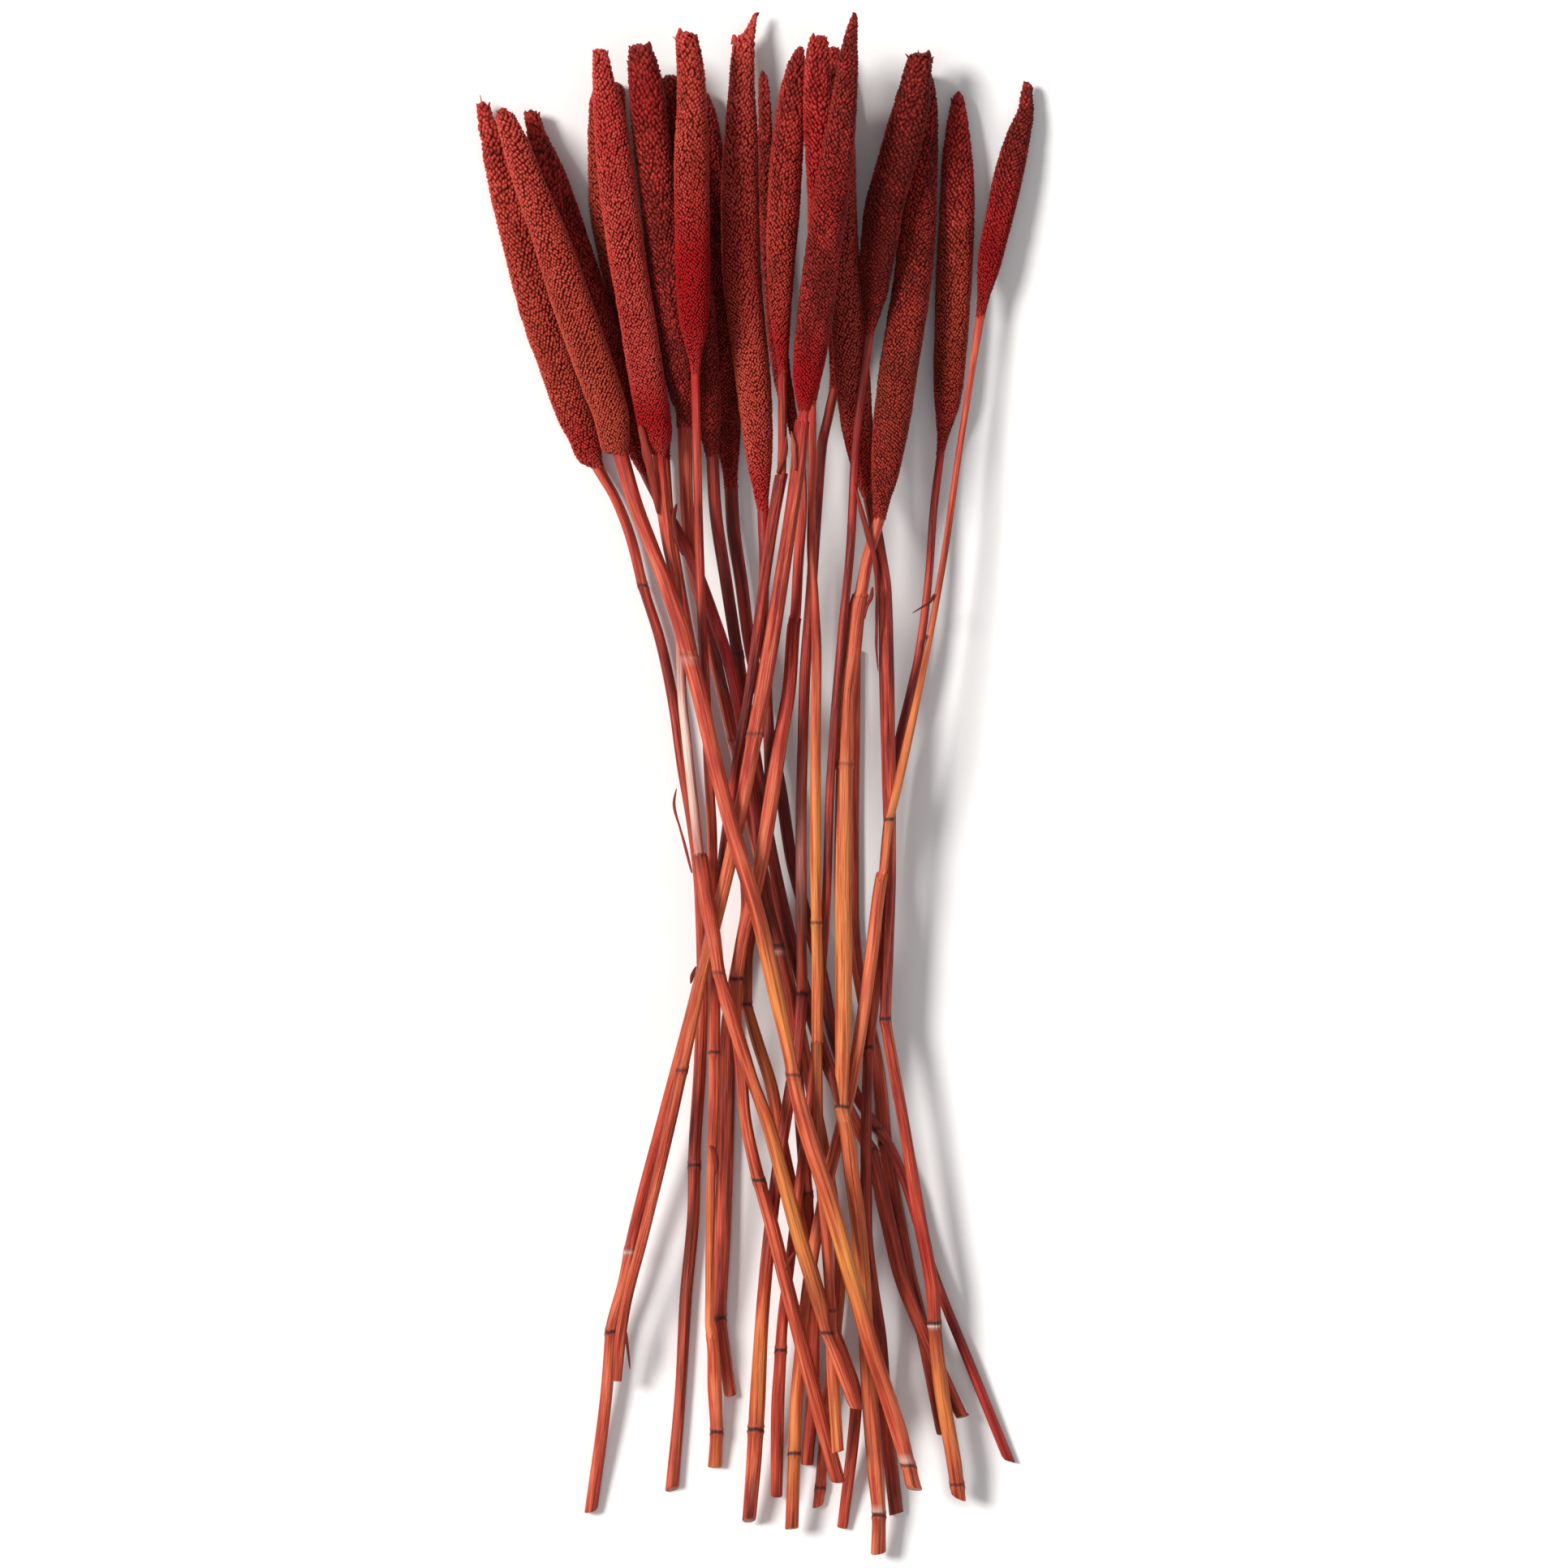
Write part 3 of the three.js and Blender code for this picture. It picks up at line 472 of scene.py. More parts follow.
class Recipe:
    """Adds nodes to a material and joins them by name."""

    def __init__(self, name):
        self.material = bpy.data.materials.new(name)
        self.material.use_nodes = True
        self.tree = self.material.node_tree
        self.tree.nodes.clear()
        self.shader = self.tree.nodes.new("ShaderNodeBsdfPrincipled")
        output = self.tree.nodes.new("ShaderNodeOutputMaterial")
        self.tree.links.new(self.shader.outputs["BSDF"], output.inputs["Surface"])

    def feed(self, socket, value):
        """Joins a socket to another one, or sets its number or colour."""
        if isinstance(value, bpy.types.NodeSocket):
            self.tree.links.new(value, socket)
        else:
            socket.default_value = value

    def field(self, name):
        """The value that the piece carries under this name."""
        node = self.tree.nodes.new("ShaderNodeAttribute")
        node.attribute_name = name
        return node.outputs["Fac"]

    def sums(self, operation, a, b):
        """The sum or product of two values."""
        node = self.tree.nodes.new("ShaderNodeMath")
        node.operation = operation
        self.feed(node.inputs[0], a)
        self.feed(node.inputs[1], b)
        return node.outputs[0]

    def spread(self, value, low, high, to_low=0.0, to_high=1.0):
        """Maps a range of values to another, held at its ends."""
        node = self.tree.nodes.new("ShaderNodeMapRange")
        self.feed(node.inputs["Value"], value)
        node.inputs["From Min"].default_value = low
        node.inputs["From Max"].default_value = high
        node.inputs["To Min"].default_value = to_low
        node.inputs["To Max"].default_value = to_high
        return node.outputs["Result"]

    def noise(self, scale, detail, stretch=None, vector=None):
        """Noise on Object coordinates, or on the given vector, stretched along an axis."""
        node = self.tree.nodes.new("ShaderNodeTexNoise")
        node.inputs["Scale"].default_value = scale
        node.inputs["Detail"].default_value = detail
        if vector is None:
            vector = self.tree.nodes.new("ShaderNodeTexCoord").outputs["Object"]
        if stretch:
            mapping = self.tree.nodes.new("ShaderNodeMapping")
            mapping.inputs["Scale"].default_value = stretch
            self.tree.links.new(vector, mapping.inputs["Vector"])
            vector = mapping.outputs["Vector"]
        self.tree.links.new(vector, node.inputs["Vector"])
        return node.outputs["Fac"]

    def wrapped(self):
        """The place on a piece as a vector: its two fields across it and its length field."""
        node = self.tree.nodes.new("ShaderNodeCombineXYZ")
        for socket, key in zip(node.inputs, ("round_x", "round_z", "length")):
            self.tree.links.new(self.field(key), socket)
        return node.outputs[0]

    def blend(self, factor, a, b):
        """Two colours mixed by a factor that is held from 0 to 1."""
        node = self.tree.nodes.new("ShaderNodeMix")
        node.data_type = "RGBA"
        node.blend_type = "MIX"
        node.clamp_factor = True
        colour_a, colour_b, mixed = node.inputs[6], node.inputs[7], node.outputs[2]
        self.feed(node.inputs["Factor"], factor)
        self.feed(colour_a, a)
        self.feed(colour_b, b)
        return mixed

    def ramp(self, value, stops):
        """The colour at a value between stops, each of them a position and a colour."""
        node = self.tree.nodes.new("ShaderNodeValToRGB")
        self.feed(node.inputs["Fac"], value)
        elements = node.color_ramp.elements
        while len(elements) < len(stops):
            elements.new(0.5)
        for element, (position, colour) in zip(elements, stops):
            element.position = position
            element.color = colour
        return node.outputs["Color"]

    def bump(self, height, distance, strength):
        """A normal that follows a height, whose full range stands for the distance."""
        node = self.tree.nodes.new("ShaderNodeBump")
        node.inputs["Strength"].default_value = strength
        node.inputs["Distance"].default_value = distance
        self.feed(node.inputs["Height"], height)
        return node.outputs["Normal"]


def tinted(colour):
    """A colour with full cover."""
    return (*colour, 1.0)


def husk_material(sizes):
    """Dyed grains: painted shade in the gaps and on each grain's rim and root, a tone for each grain,
    and brighter where the dye gathers.
    """
    recipe = Recipe("dyed_husk")
    tip, tone, zone = recipe.field("tip"), recipe.field("tone"), recipe.field("zone")
    mottle = recipe.noise(90.0, 4.0)
    shade = recipe.sums("ADD", tone, recipe.spread(mottle, 0.3, 0.7, -0.13, 0.13))
    husk = recipe.ramp(
        shade,
        [
            (0.0, tinted(sizes.husk_dark)),
            (0.45, tinted(sizes.husk_colour)),
            (1.0, tinted(sizes.husk_light)),
        ],
    )
    husk = recipe.blend(recipe.field("faded"), husk, tinted(sizes.husk_faded))
    red = recipe.blend(recipe.sums("MULTIPLY", zone, 0.92), husk, tinted(sizes.dye_red))
    # Painted shade: each grain darkens from its top point towards its rim and root, into the colour of
    # the shade between the grains.
    deep = recipe.blend(recipe.spread(tip, 0.12, 0.8), tinted(sizes.gap_shade_colour), red)
    recipe.feed(recipe.shader.inputs["Base Color"], deep)
    recipe.feed(recipe.shader.inputs["Roughness"], recipe.spread(mottle, 0.3, 0.7, 0.5, 0.66))
    recipe.shader.inputs["Specular IOR Level"].default_value = 0.12
    fine = recipe.noise(2600.0, 2.0, stretch=(1.0, 0.35, 1.0))
    recipe.feed(recipe.shader.inputs["Normal"], recipe.bump(fine, 0.00015, 0.5))
    return recipe.material


def cane_material(sizes):
    """Dyed cane: streaks and ribs along it, dark joints, warm stretches, pale stretches that are partly
    painted glints, painted shade in the splits, straw cut ends.
    """
    recipe = Recipe("dyed_cane")
    place = recipe.wrapped()
    tone, warm = recipe.field("tone"), recipe.field("warm")
    streaks = recipe.noise(1500.0, 3.0, stretch=(1.0, 1.0, 0.035), vector=place)
    broad = recipe.noise(260.0, 3.0, stretch=(1.0, 1.0, 0.16), vector=place)
    bands = recipe.noise(640.0, 2.0, stretch=(1.0, 1.0, 0.035), vector=place)
    shade = recipe.sums("ADD", tone, recipe.spread(streaks, 0.3, 0.7, -0.14, 0.14))
    shade = recipe.sums("ADD", shade, recipe.spread(broad, 0.3, 0.7, -0.2, 0.2))
    shade = recipe.sums("ADD", shade, recipe.spread(bands, 0.38, 0.6, -0.28, 0.2))
    dyed = recipe.ramp(
        shade,
        [
            (0.0, tinted(sizes.cane_dark)),
            (0.5, tinted(sizes.cane_colour)),
            (1.0, tinted(sizes.cane_light)),
        ],
    )
    warmth = recipe.sums("MULTIPLY", warm, recipe.spread(bands, 0.35, 0.6, 0.25, 1.0))
    dyed = recipe.blend(warmth, dyed, tinted(sizes.cane_warm))
    halo = recipe.sums("MULTIPLY", recipe.field("halo"), recipe.spread(broad, 0.35, 0.65, 0.5, 1.0))
    dyed = recipe.blend(halo, dyed, tinted(sizes.cane_dark))
    red = recipe.sums("MULTIPLY", recipe.field("red"), 0.75)
    dyed = recipe.blend(red, dyed, tinted(sizes.dye_red))
    # Pale stretches: undyed cane and painted glints, shown most on the side towards the key light.
    pale = recipe.sums("MULTIPLY", recipe.field("pale"), recipe.spread(streaks, 0.35, 0.55, 0.55, 1.0))
    dyed = recipe.blend(pale, dyed, tinted(sizes.undyed_and_glint))
    # Dark joint rings, and painted shade in the splits at the cut ends.
    joint_ring_and_split_shade = recipe.sums("MULTIPLY", recipe.field("joint_ring_and_split_shade"), recipe.spread(streaks, 0.3, 0.7, 1.0, 0.75))
    dyed = recipe.blend(joint_ring_and_split_shade, dyed, tinted(sizes.joint_and_split_shade_colour))
    pith = recipe.ramp(
        recipe.noise(2400.0, 2.0),
        [(0.35, tinted(sizes.pith_dark)), (0.65, tinted(sizes.pith_light))],
    )
    dyed = recipe.blend(recipe.field("cut"), dyed, pith)
    recipe.feed(recipe.shader.inputs["Base Color"], dyed)
    recipe.feed(recipe.shader.inputs["Roughness"], recipe.spread(streaks, 0.3, 0.7, 0.42, 0.6))
    recipe.shader.inputs["Specular IOR Level"].default_value = 0.26
    ribbing = recipe.sums("MULTIPLY", recipe.spread(streaks, 0.3, 0.7), recipe.field("ribs"))
    recipe.feed(recipe.shader.inputs["Normal"], recipe.bump(ribbing, 0.0006, 0.8))
    return recipe.material


def leaf_material(sizes):
    """Dry papery leaf: a tone of its own, with fine veins along it."""
    recipe = Recipe("dry_leaf")
    place = recipe.wrapped()
    veins = recipe.noise(1700.0, 3.0, stretch=(1.0, 1.0, 0.04), vector=place)
    shade = recipe.sums("ADD", recipe.field("tone"), recipe.spread(veins, 0.3, 0.7, -0.2, 0.2))
    colour = recipe.ramp(
        shade,
        [
            (0.0, tinted(sizes.leaf_dark)),
            (0.5, tinted(sizes.leaf_colour)),
            (1.0, tinted(sizes.leaf_light)),
        ],
    )
    recipe.feed(recipe.shader.inputs["Base Color"], colour)
    recipe.feed(recipe.shader.inputs["Roughness"], recipe.spread(veins, 0.3, 0.7, 0.55, 0.75))
    recipe.shader.inputs["Specular IOR Level"].default_value = 0.16
    recipe.feed(recipe.shader.inputs["Normal"], recipe.bump(veins, 0.0004, 0.6))
    return recipe.material


def floor_material(sizes):
    """Smooth matt paper."""
    recipe = Recipe("floor_paper")
    recipe.shader.inputs["Base Color"].default_value = tinted(sizes.floor_colour)
    recipe.shader.inputs["Roughness"].default_value = 0.9
    return recipe.material


def head_axis(rows, y):
    """Centre, radius, slope of the radius and unit direction of a head at each Y.

    The slopes are central differences of the eased values 0.5 mm to each side.
    """
    here = eased(y, rows)
    reach = 0.5 * MM
    change = (eased(y + reach, rows) - eased(y - reach, rows)) / (2 * reach)
    along = np.stack([change[:, 0], np.ones_like(y), change[:, 1]], axis=-1)
    along /= np.linalg.norm(along, axis=1)[:, None]
    return here, change[:, 2], along


def domed(rows, ident):
    """The rows of a head with its top drawn in: full, four fifths, then two fifths of its radius."""
    y, x, z, radius = rows[-1]
    drop = CROWNS[ident][0] * radius
    under = eased(np.array([y - drop]), rows)[0]
    full = min(radius, under[2])
    kept = rows[rows[:, 0] < y - drop - 0.2 * MM]
    shoulder = [y - drop, *under]
    return np.vstack([kept, [shoulder, [y - 0.3 * drop, x, z, 0.8 * full], [y, x, z, 0.4 * full]]])


def grain_shape():
    """A grain as a top point, a rim and a root, in shares across, along and outward.

    The rim is a circle that stands 0.26 plus 0.14 times its sine outward. Triangles join it to the
    top, whose tip value is 1, and to the root, whose tip value is 0. The tip value lightens a grain
    from painted shade at its root and rim to its full colour at its top.
    """
    side = np.arange(GRAIN_RIM)
    following = (side + 1) % GRAIN_RIM
    angle = math.pi / 2 + side * math.pi * (2 / GRAIN_RIM)
    rim = np.stack([np.cos(angle), np.sin(angle), 0.26 + 0.14 * np.sin(angle)], axis=-1)
    points = np.vstack([[[0, 0, 1]], rim, [[0, 0, -0.6]]])
    root = GRAIN_POINTS - 1
    top = np.stack([np.zeros(GRAIN_RIM, int), 1 + side, 1 + following], axis=-1)
    bottom = np.stack([np.full(GRAIN_RIM, root), 1 + following, 1 + side], axis=-1)
    return points, np.vstack([top, bottom]), np.array([1.0] + [0.3] * GRAIN_RIM + [0.0])


def seated(place, across, along, outward, size, lean):
    """Grains at the given places: each shape point times the grain's axes and size.

    The higher a point stands, the further the lean shifts it along.
    """
    shape, faces, tip = grain_shape()
    width, length, height = (value[:, None, None] for value in size)
    slide = shape[:, 1] + np.maximum(shape[:, 2], 0) * lean[:, None]
    points = (
        place[:, None, :]
        + across[:, None, :] * width * shape[None, :, :1]
        + along[:, None, :] * length * slide[:, :, None]
        + outward[:, None, :] * height * shape[None, :, 2:]
    )
    count = len(place)
    all_faces = faces[None] + len(shape) * np.arange(count)[:, None, None]
    return points.reshape(-1, 3), all_faces.reshape(-1, 3), np.tile(tip, count)


def grain_gap(share, spacing):
    """Distance between grains, which grows along a head as the power 1.6 of the share of its length."""
    return spacing * (0.86 + 0.55 * share**1.6)


def head_grains(rows, ident, sizes, rng):
    """Grains spread evenly over a head on a spiral of golden turns.

    Grain k sits at k golden angles round the head, at the Y below which the surface, in grain
    footprints, comes to k. Size, turn and seat of each grain vary at random, and a few grains are
    missing where a ripple is highest. Grains at the base are longer and point down.
    """
    scale, tone, lean = HEAD_LOOKS[ident]
    lumpy = 1.0 if scale > 1.1 else 0.55
    missing = 2.45
    seed = int(ident)
    low, high = rows[0, 0] + 0.6 * MM, rows[-1, 0] - 0.2 * MM
    fine = np.linspace(low, high, 1500)
    spacing = grain_gap((fine - low) / (high - low), sizes.grain_spacing * scale)
    girth = eased(fine, rows)[:, 2]
    steep = np.hypot(1, np.gradient(girth, fine))
    density = 2 * math.pi * girth * steep / (spacing * spacing)
    total = np.append(0, np.cumsum((density[1:] + density[:-1]) / 2 * np.diff(fine)))
    count = int(total[-1])
    k = np.arange(count) + 0.5
    shift = GRAIN_SCATTER * np.interp(k, total, spacing) * rng.normal(0, 1, (2, count))
    slope = np.interp(k, total, steep)
    y = np.clip(np.interp(k, total, fine) + shift[0] / slope, low, high)
    angle = k * GOLDEN + shift[1] / np.interp(k, total, girth)
    angle = angle + 0.05 * ripple(angle, y / (26 * MM), seed + 80)
    kept = ripple(angle, y / (18 * MM), seed + 60, 9) < missing
    y, angle, count = y[kept], angle[kept], int(kept.sum())
    here, taper, along = head_axis(rows, y)
    share = (y - low) / (high - low)
    skirt = np.exp(-(y - low) / SKIRT)
    local = grain_gap(share, sizes.grain_spacing * scale)
    radial = np.stack([np.cos(angle), np.zeros(count), np.sin(angle)], axis=-1)
    outward = radial - along * (np.sum(radial * along, axis=1) + taper)[:, None]
    outward /= np.linalg.norm(outward, axis=1)[:, None]
    along = along - outward * np.sum(along * outward, axis=1)[:, None]
    along /= np.linalg.norm(along, axis=1)[:, None]
    across = np.cross(along, outward)
    sway = 0.4 * ripple(angle, y / (55 * MM), seed + 20) + rng.normal(0, 0.2, count)
    cosine, sine = np.cos(sway)[:, None], np.sin(sway)[:, None]
    along, across = along * cosine + across * sine, across * cosine - along * sine
    height = local * GRAIN_HEIGHT * rng.uniform(0.85, 1.05, count)
    lump = 0.16 * MM * (1 + ripple(angle, y / (9 * MM), seed + 40, 7)) * lumpy
    jitter = rng.uniform(0.0, 0.22 * MM, count) + np.clip(lump, 0, 0.45 * MM)
    width = local * GRAIN_WIDTH * rng.uniform(0.88, 1.12, count)
    stretch = GRAIN_LENGTH + 0.14 * lean + 0.08 * share + 0.35 * skirt
    length = local * stretch * rng.uniform(0.88, 1.12, count)
    depth = here[:, 2] - height - jitter
    place = np.stack([here[:, 0], y, here[:, 1]], axis=-1) + radial * depth[:, None]
    slide = lean * (0.35 + 0.65 * share) * rng.uniform(0.7, 1.3, count) - 1.2 * skirt
    points, faces, tip = seated(place, across, along, outward, (width, length, height), slide)
    shade = tone + rng.normal(0, 0.12, count) + 0.09 * ripple(angle, y / (40 * MM), seed)
    zone = np.clip(swell(y, RED_ZONES.get(ident, [])), 0, 1)
    faded = np.clip(swell(y, FADED_ZONES.get(ident, [])) * rng.uniform(0.5, 1.2, count), 0, 1)
    fields = {
        "tip": tip,
        "tone": np.repeat(shade, GRAIN_POINTS),
        "zone": np.repeat(zone, GRAIN_POINTS),
        "faded": np.repeat(faded, GRAIN_POINTS),
    }
    return points, faces, fields


def even_fields(tip, tone):
    """Fields of a part of a head whose dye is even."""
    return {"tip": tip, "tone": tone, "zone": np.zeros(len(tip)), "faded": np.zeros(len(tip))}


def crown_teeth(rows, ident):
    """Torn points at the top of a head.

    Each is a cone of rings: its radius falls as the square root of one minus 0.94 times the share
    of its height, and it bends sideways as the square of that share. It is flattened along Z.
    """
    tone = HEAD_LOOKS[ident][1]
    share = np.linspace(0, 1, 7)[:, None]
    angle = np.arange(TOOTH_SIDES)[None] * 2 * math.pi / TOOTH_SIDES
    parts = []
    for drop, across, height, half, bend in CROWNS[ident][1]:
        foot = rows[-1, 0] - drop * MM
        x, z, _ = eased(np.array([foot]), rows)[0]
        rough = 1 + 0.12 * ripple(angle, share * 2, int(half * 90))
        radius = half * MM * np.sqrt(1 - 0.94 * share) * rough
        middle = x + (across + bend * share**2) * MM
        points, faces = solid_of_rings(
            middle + radius * np.cos(angle),
            foot + height * MM * share + 0 * angle,
            z + 0.75 * radius * np.sin(angle),
        )
        # Painted shade at the foot of each torn point, lightening towards its top.
        glow = np.append(np.repeat(0.45 + 0.4 * share[:, 0], TOOTH_SIDES), [0.4, 0.9])
        parts.append((points, faces, even_fields(glow, np.full(len(points), tone - 0.1))))
    return parts


def crown_shreds(rows, ident, rng):
    """Broken bristles round the top of a head: long grains that point along it."""
    tone = HEAD_LOOKS[ident][1]
    count = SHREDS
    y = np.full(count, rows[-1, 0] - 3.4 * MM) + rng.uniform(-1.5, 1.0, count) * MM
    angle = np.arange(count) * GOLDEN + rng.normal(0, 0.2, count)
    here, _, along = head_axis(rows, y)
    radial = np.stack([np.cos(angle), np.zeros(count), np.sin(angle)], axis=-1)
    outward = radial - along * np.sum(radial * along, axis=1)[:, None]
    outward /= np.linalg.norm(outward, axis=1)[:, None]
    across = np.cross(along, outward)
    depth = (here[:, 2] - 1.3 * MM) * rng.uniform(0.55, 1.0, count)
    place = np.stack([here[:, 0], y, here[:, 1]], axis=-1) + radial * depth[:, None]
    width = rng.uniform(0.45, 0.8, count) * MM
    length = rng.uniform(1.6, 3.0, count) * MM
    height = rng.uniform(0.5, 0.8, count) * MM
    slide = np.full(count, 0.6)
    points, faces, tip = seated(place, across, along, outward, (width, length, height), slide)
    points[:, 1] = np.minimum(points[:, 1], rows[-1, 0] - 0.2 * MM)
    shade = np.repeat(tone - 0.12 + rng.normal(0, 0.1, count), GRAIN_POINTS)
    return points, faces, even_fields(tip, shade)


def head_core(rows, ident):
    """The body under the grains, dark with painted shade: rings about a grain's height inside the head.

    Its last 6 mm are notched: each point sinks by up to 1.1 mm times one plus a ripple.
    """
    y = np.linspace(rows[0, 0] + 1.2 * MM, rows[-1, 0] - 1.6 * MM, 56)
    here = eased(y, rows)
    inset = np.interp(y, [y[0], y[0] + 5 * MM, y[-1]], [0.9 * MM, 1.3 * MM, 1.6 * MM])
    inset = np.minimum(inset, 0.6 * here[:, 2])
    angle = np.arange(CORE_SIDES) * 2 * math.pi / CORE_SIDES
    rough = 1 + 0.012 * ripple(angle[None], y[:, None] / (12 * MM), 5)
    radius = (here[:, 2] - inset)[:, None] * rough
    x = here[:, :1] + radius * np.cos(angle)
    z = here[:, 1:2] + radius * np.sin(angle)
    notch = np.clip((y - y[-1] + 6 * MM) / (6 * MM), 0, 1)[:, None] * 2.2 * MM
    rise = y[:, None] - notch * (1 + ripple(angle[None] * 2, np.zeros(1), int(ident) + 3)) * 0.5
    points, faces = solid_of_rings(x, rise, z)
    # Painted shade: a tip value of 0.08 gives the core nearly the full colour of the shade between the
    # grains.
    return points, faces, even_fields(np.full(len(points), 0.08), np.full(len(points), 0.2))


def joined(parts):
    """One set of points, faces and fields from several."""
    start = np.cumsum([0] + [len(points) for points, _, _ in parts[:-1]])
    points = np.vstack([part[0] for part in parts])
    faces = np.vstack([part[1] + first for part, first in zip(parts, start)])
    fields = {key: np.concatenate([part[2][key] for part in parts]) for key in parts[0][2]}
    return points, faces, fields


def stalk_heights(rows, ident):
    """Y of the rings of a stalk: 3 mm apart, and 0.4 mm apart near its joints and sheath edges."""
    low, high = rows[0, 0], rows[-1, 0]
    wide = np.linspace(low, high, int((high - low) / (3 * MM)))
    near = [y for y, _ in JOINTS[ident]] + SHEATH_EDGES.get(ident, [])
    tight = np.concatenate([np.arange(-2.4, 2.5, 0.4) * MM + y * MM for y in near])
    every = np.sort(np.hstack([wide, low + 0.35 * MM, tight[(tight > low) & (tight < high)]]))
    return every[np.append(True, np.diff(every) > RING_GAP)]


def sheathed(level, across, ident):
    """Y at which each point of a cane reads its solid's radius, and how bare the cane is there.

    Near a sheath's edge a point reads the radius 3.5 mm from it, on its own side of a line that
    wanders round the cane, so the sheath's step falls on that line. The bareness is 0.2 above the
    line and -0.2 below it, times exp of minus the distance in 16 mm.
    """
    shifted = level.copy()
    bared = np.zeros_like(level)
    for edge in SHEATH_EDGES.get(ident, []):
        away = level - edge * MM
        line = 1.4 * MM * ripple(across * 3, np.zeros(1), int(ident) + int(abs(edge)), 7)
        side = np.clip((away - line) / (0.25 * MM), -1, 1)
        near = np.abs(away) / SHEATH_REACH < 1
        shifted = np.where(near, edge * MM + side * 3.5 * MM, shifted)
        bared += 0.2 * side * np.exp(-np.abs(away) / (16 * MM))
    return shifted, bared


def jointed(y, level, across, ident):
    """How much wider or thinner a cane is at each ring, and how dark each point is, for its joints.

    A joint has a groove, a bell of Y, and a rim 1.5 mm to each side of it. Its dark ring is exp of
    minus the fourth power of the distance to a line that is slightly tilted.
    """
    groove = 0
    rim = 0
    ring = 0
    tilt = 0.3 * MM * ripple(across, np.zeros(1), int(ident) + 30)
    for at, dark in JOINTS[ident]:
        away = y - at * MM
        groove = groove + dark * np.exp(-((away / GROOVE) ** 2))
        rim = rim + np.exp(-((np.abs(away) - RIM) / GROOVE) ** 2)
        ring = ring + 1.5 * dark * np.exp(-(((level - tilt - at * MM) / DARK_RING) ** 4))
    return 1 - 0.09 * groove + 0.03 * rim, np.clip(ring, 0, 1)


def cut_splits(level, across, ident):
    """Depth of the splits at a cut end: exp of minus a sixth power along and a fourth one round."""
    return sum(
        np.exp(-(((level - at * MM) / (half * MM)) ** 6) - ((across - turn) / SPLIT_TURN) ** 4)
        for at, half, turn in SPLITS.get(ident, [])
    )


def cane_rows(ident):
    """The rows of a stalk's solid, carried on into its head where it has one."""
    rows = stations("stalk_" + ident, STALK_SIDES)
    if ident not in HEADS:
        return rows
    last = rows[-1]
    onward = (last[1:3] - rows[-2, 1:3]) / (last[0] - rows[-2, 0]) * SOCKET
    return np.vstack([rows, [last[0] + SOCKET, *(last[1:3] + onward), 0.85 * last[3]]])


def cane_piece(ident):
    """A cane along its solid's rings: points, faces and fields.

    Its radius is the solid's, times the joints' grooves and rims, times ribs (a seeded sum of
    sines round it), less the splits. Its cut end is bevelled, and slanted by the cosine of the
    turn round it.
    """
    rows = cane_rows(ident)
    furrow = 0.02 + 0.03 * STALK_LOOKS[ident][2]
    seed = int(ident)
    y = stalk_heights(rows, ident)
    angle = np.arange(CANE_SIDES) * 2 * math.pi / CANE_SIDES
    across = angle[None]
    level = np.repeat(y[:, None], CANE_SIDES, axis=1)
    shifted, bared = sheathed(level, across, ident)
    girth, ring = jointed(y, level, across, ident)
    split = cut_splits(level, across, ident)
    here = eased(y, rows)
    radius = eased(shifted.ravel(), rows)[:, 2].reshape(shifted.shape)
    radius = radius * girth[:, None]
    ribbed = furrow * 0.5 * ripple(across * 2, y[:, None] / (180 * MM), seed + 7, 7)
    radius = radius * (0.965 + ribbed)
    radius = radius * (1 - 0.22 * split)
    radius[0] *= 0.92
    slant = np.random.default_rng(seed + 50).uniform(0.05, 0.45)
    level[:2] += slant * radius[1] * (1 + np.cos(angle - seed))
    x = here[:, :1] + radius * np.cos(angle)
    z = here[:, 1:2] + radius * np.sin(angle)
    points, faces = solid_of_rings(x, level, z)
    # Dark joint rings, and painted shade in the splits at the cut end.
    dark = np.clip(ring + 0.8 * split, 0, 1)
    return points, faces, cane_fields(ident, y, angle, radius, dark, bared)


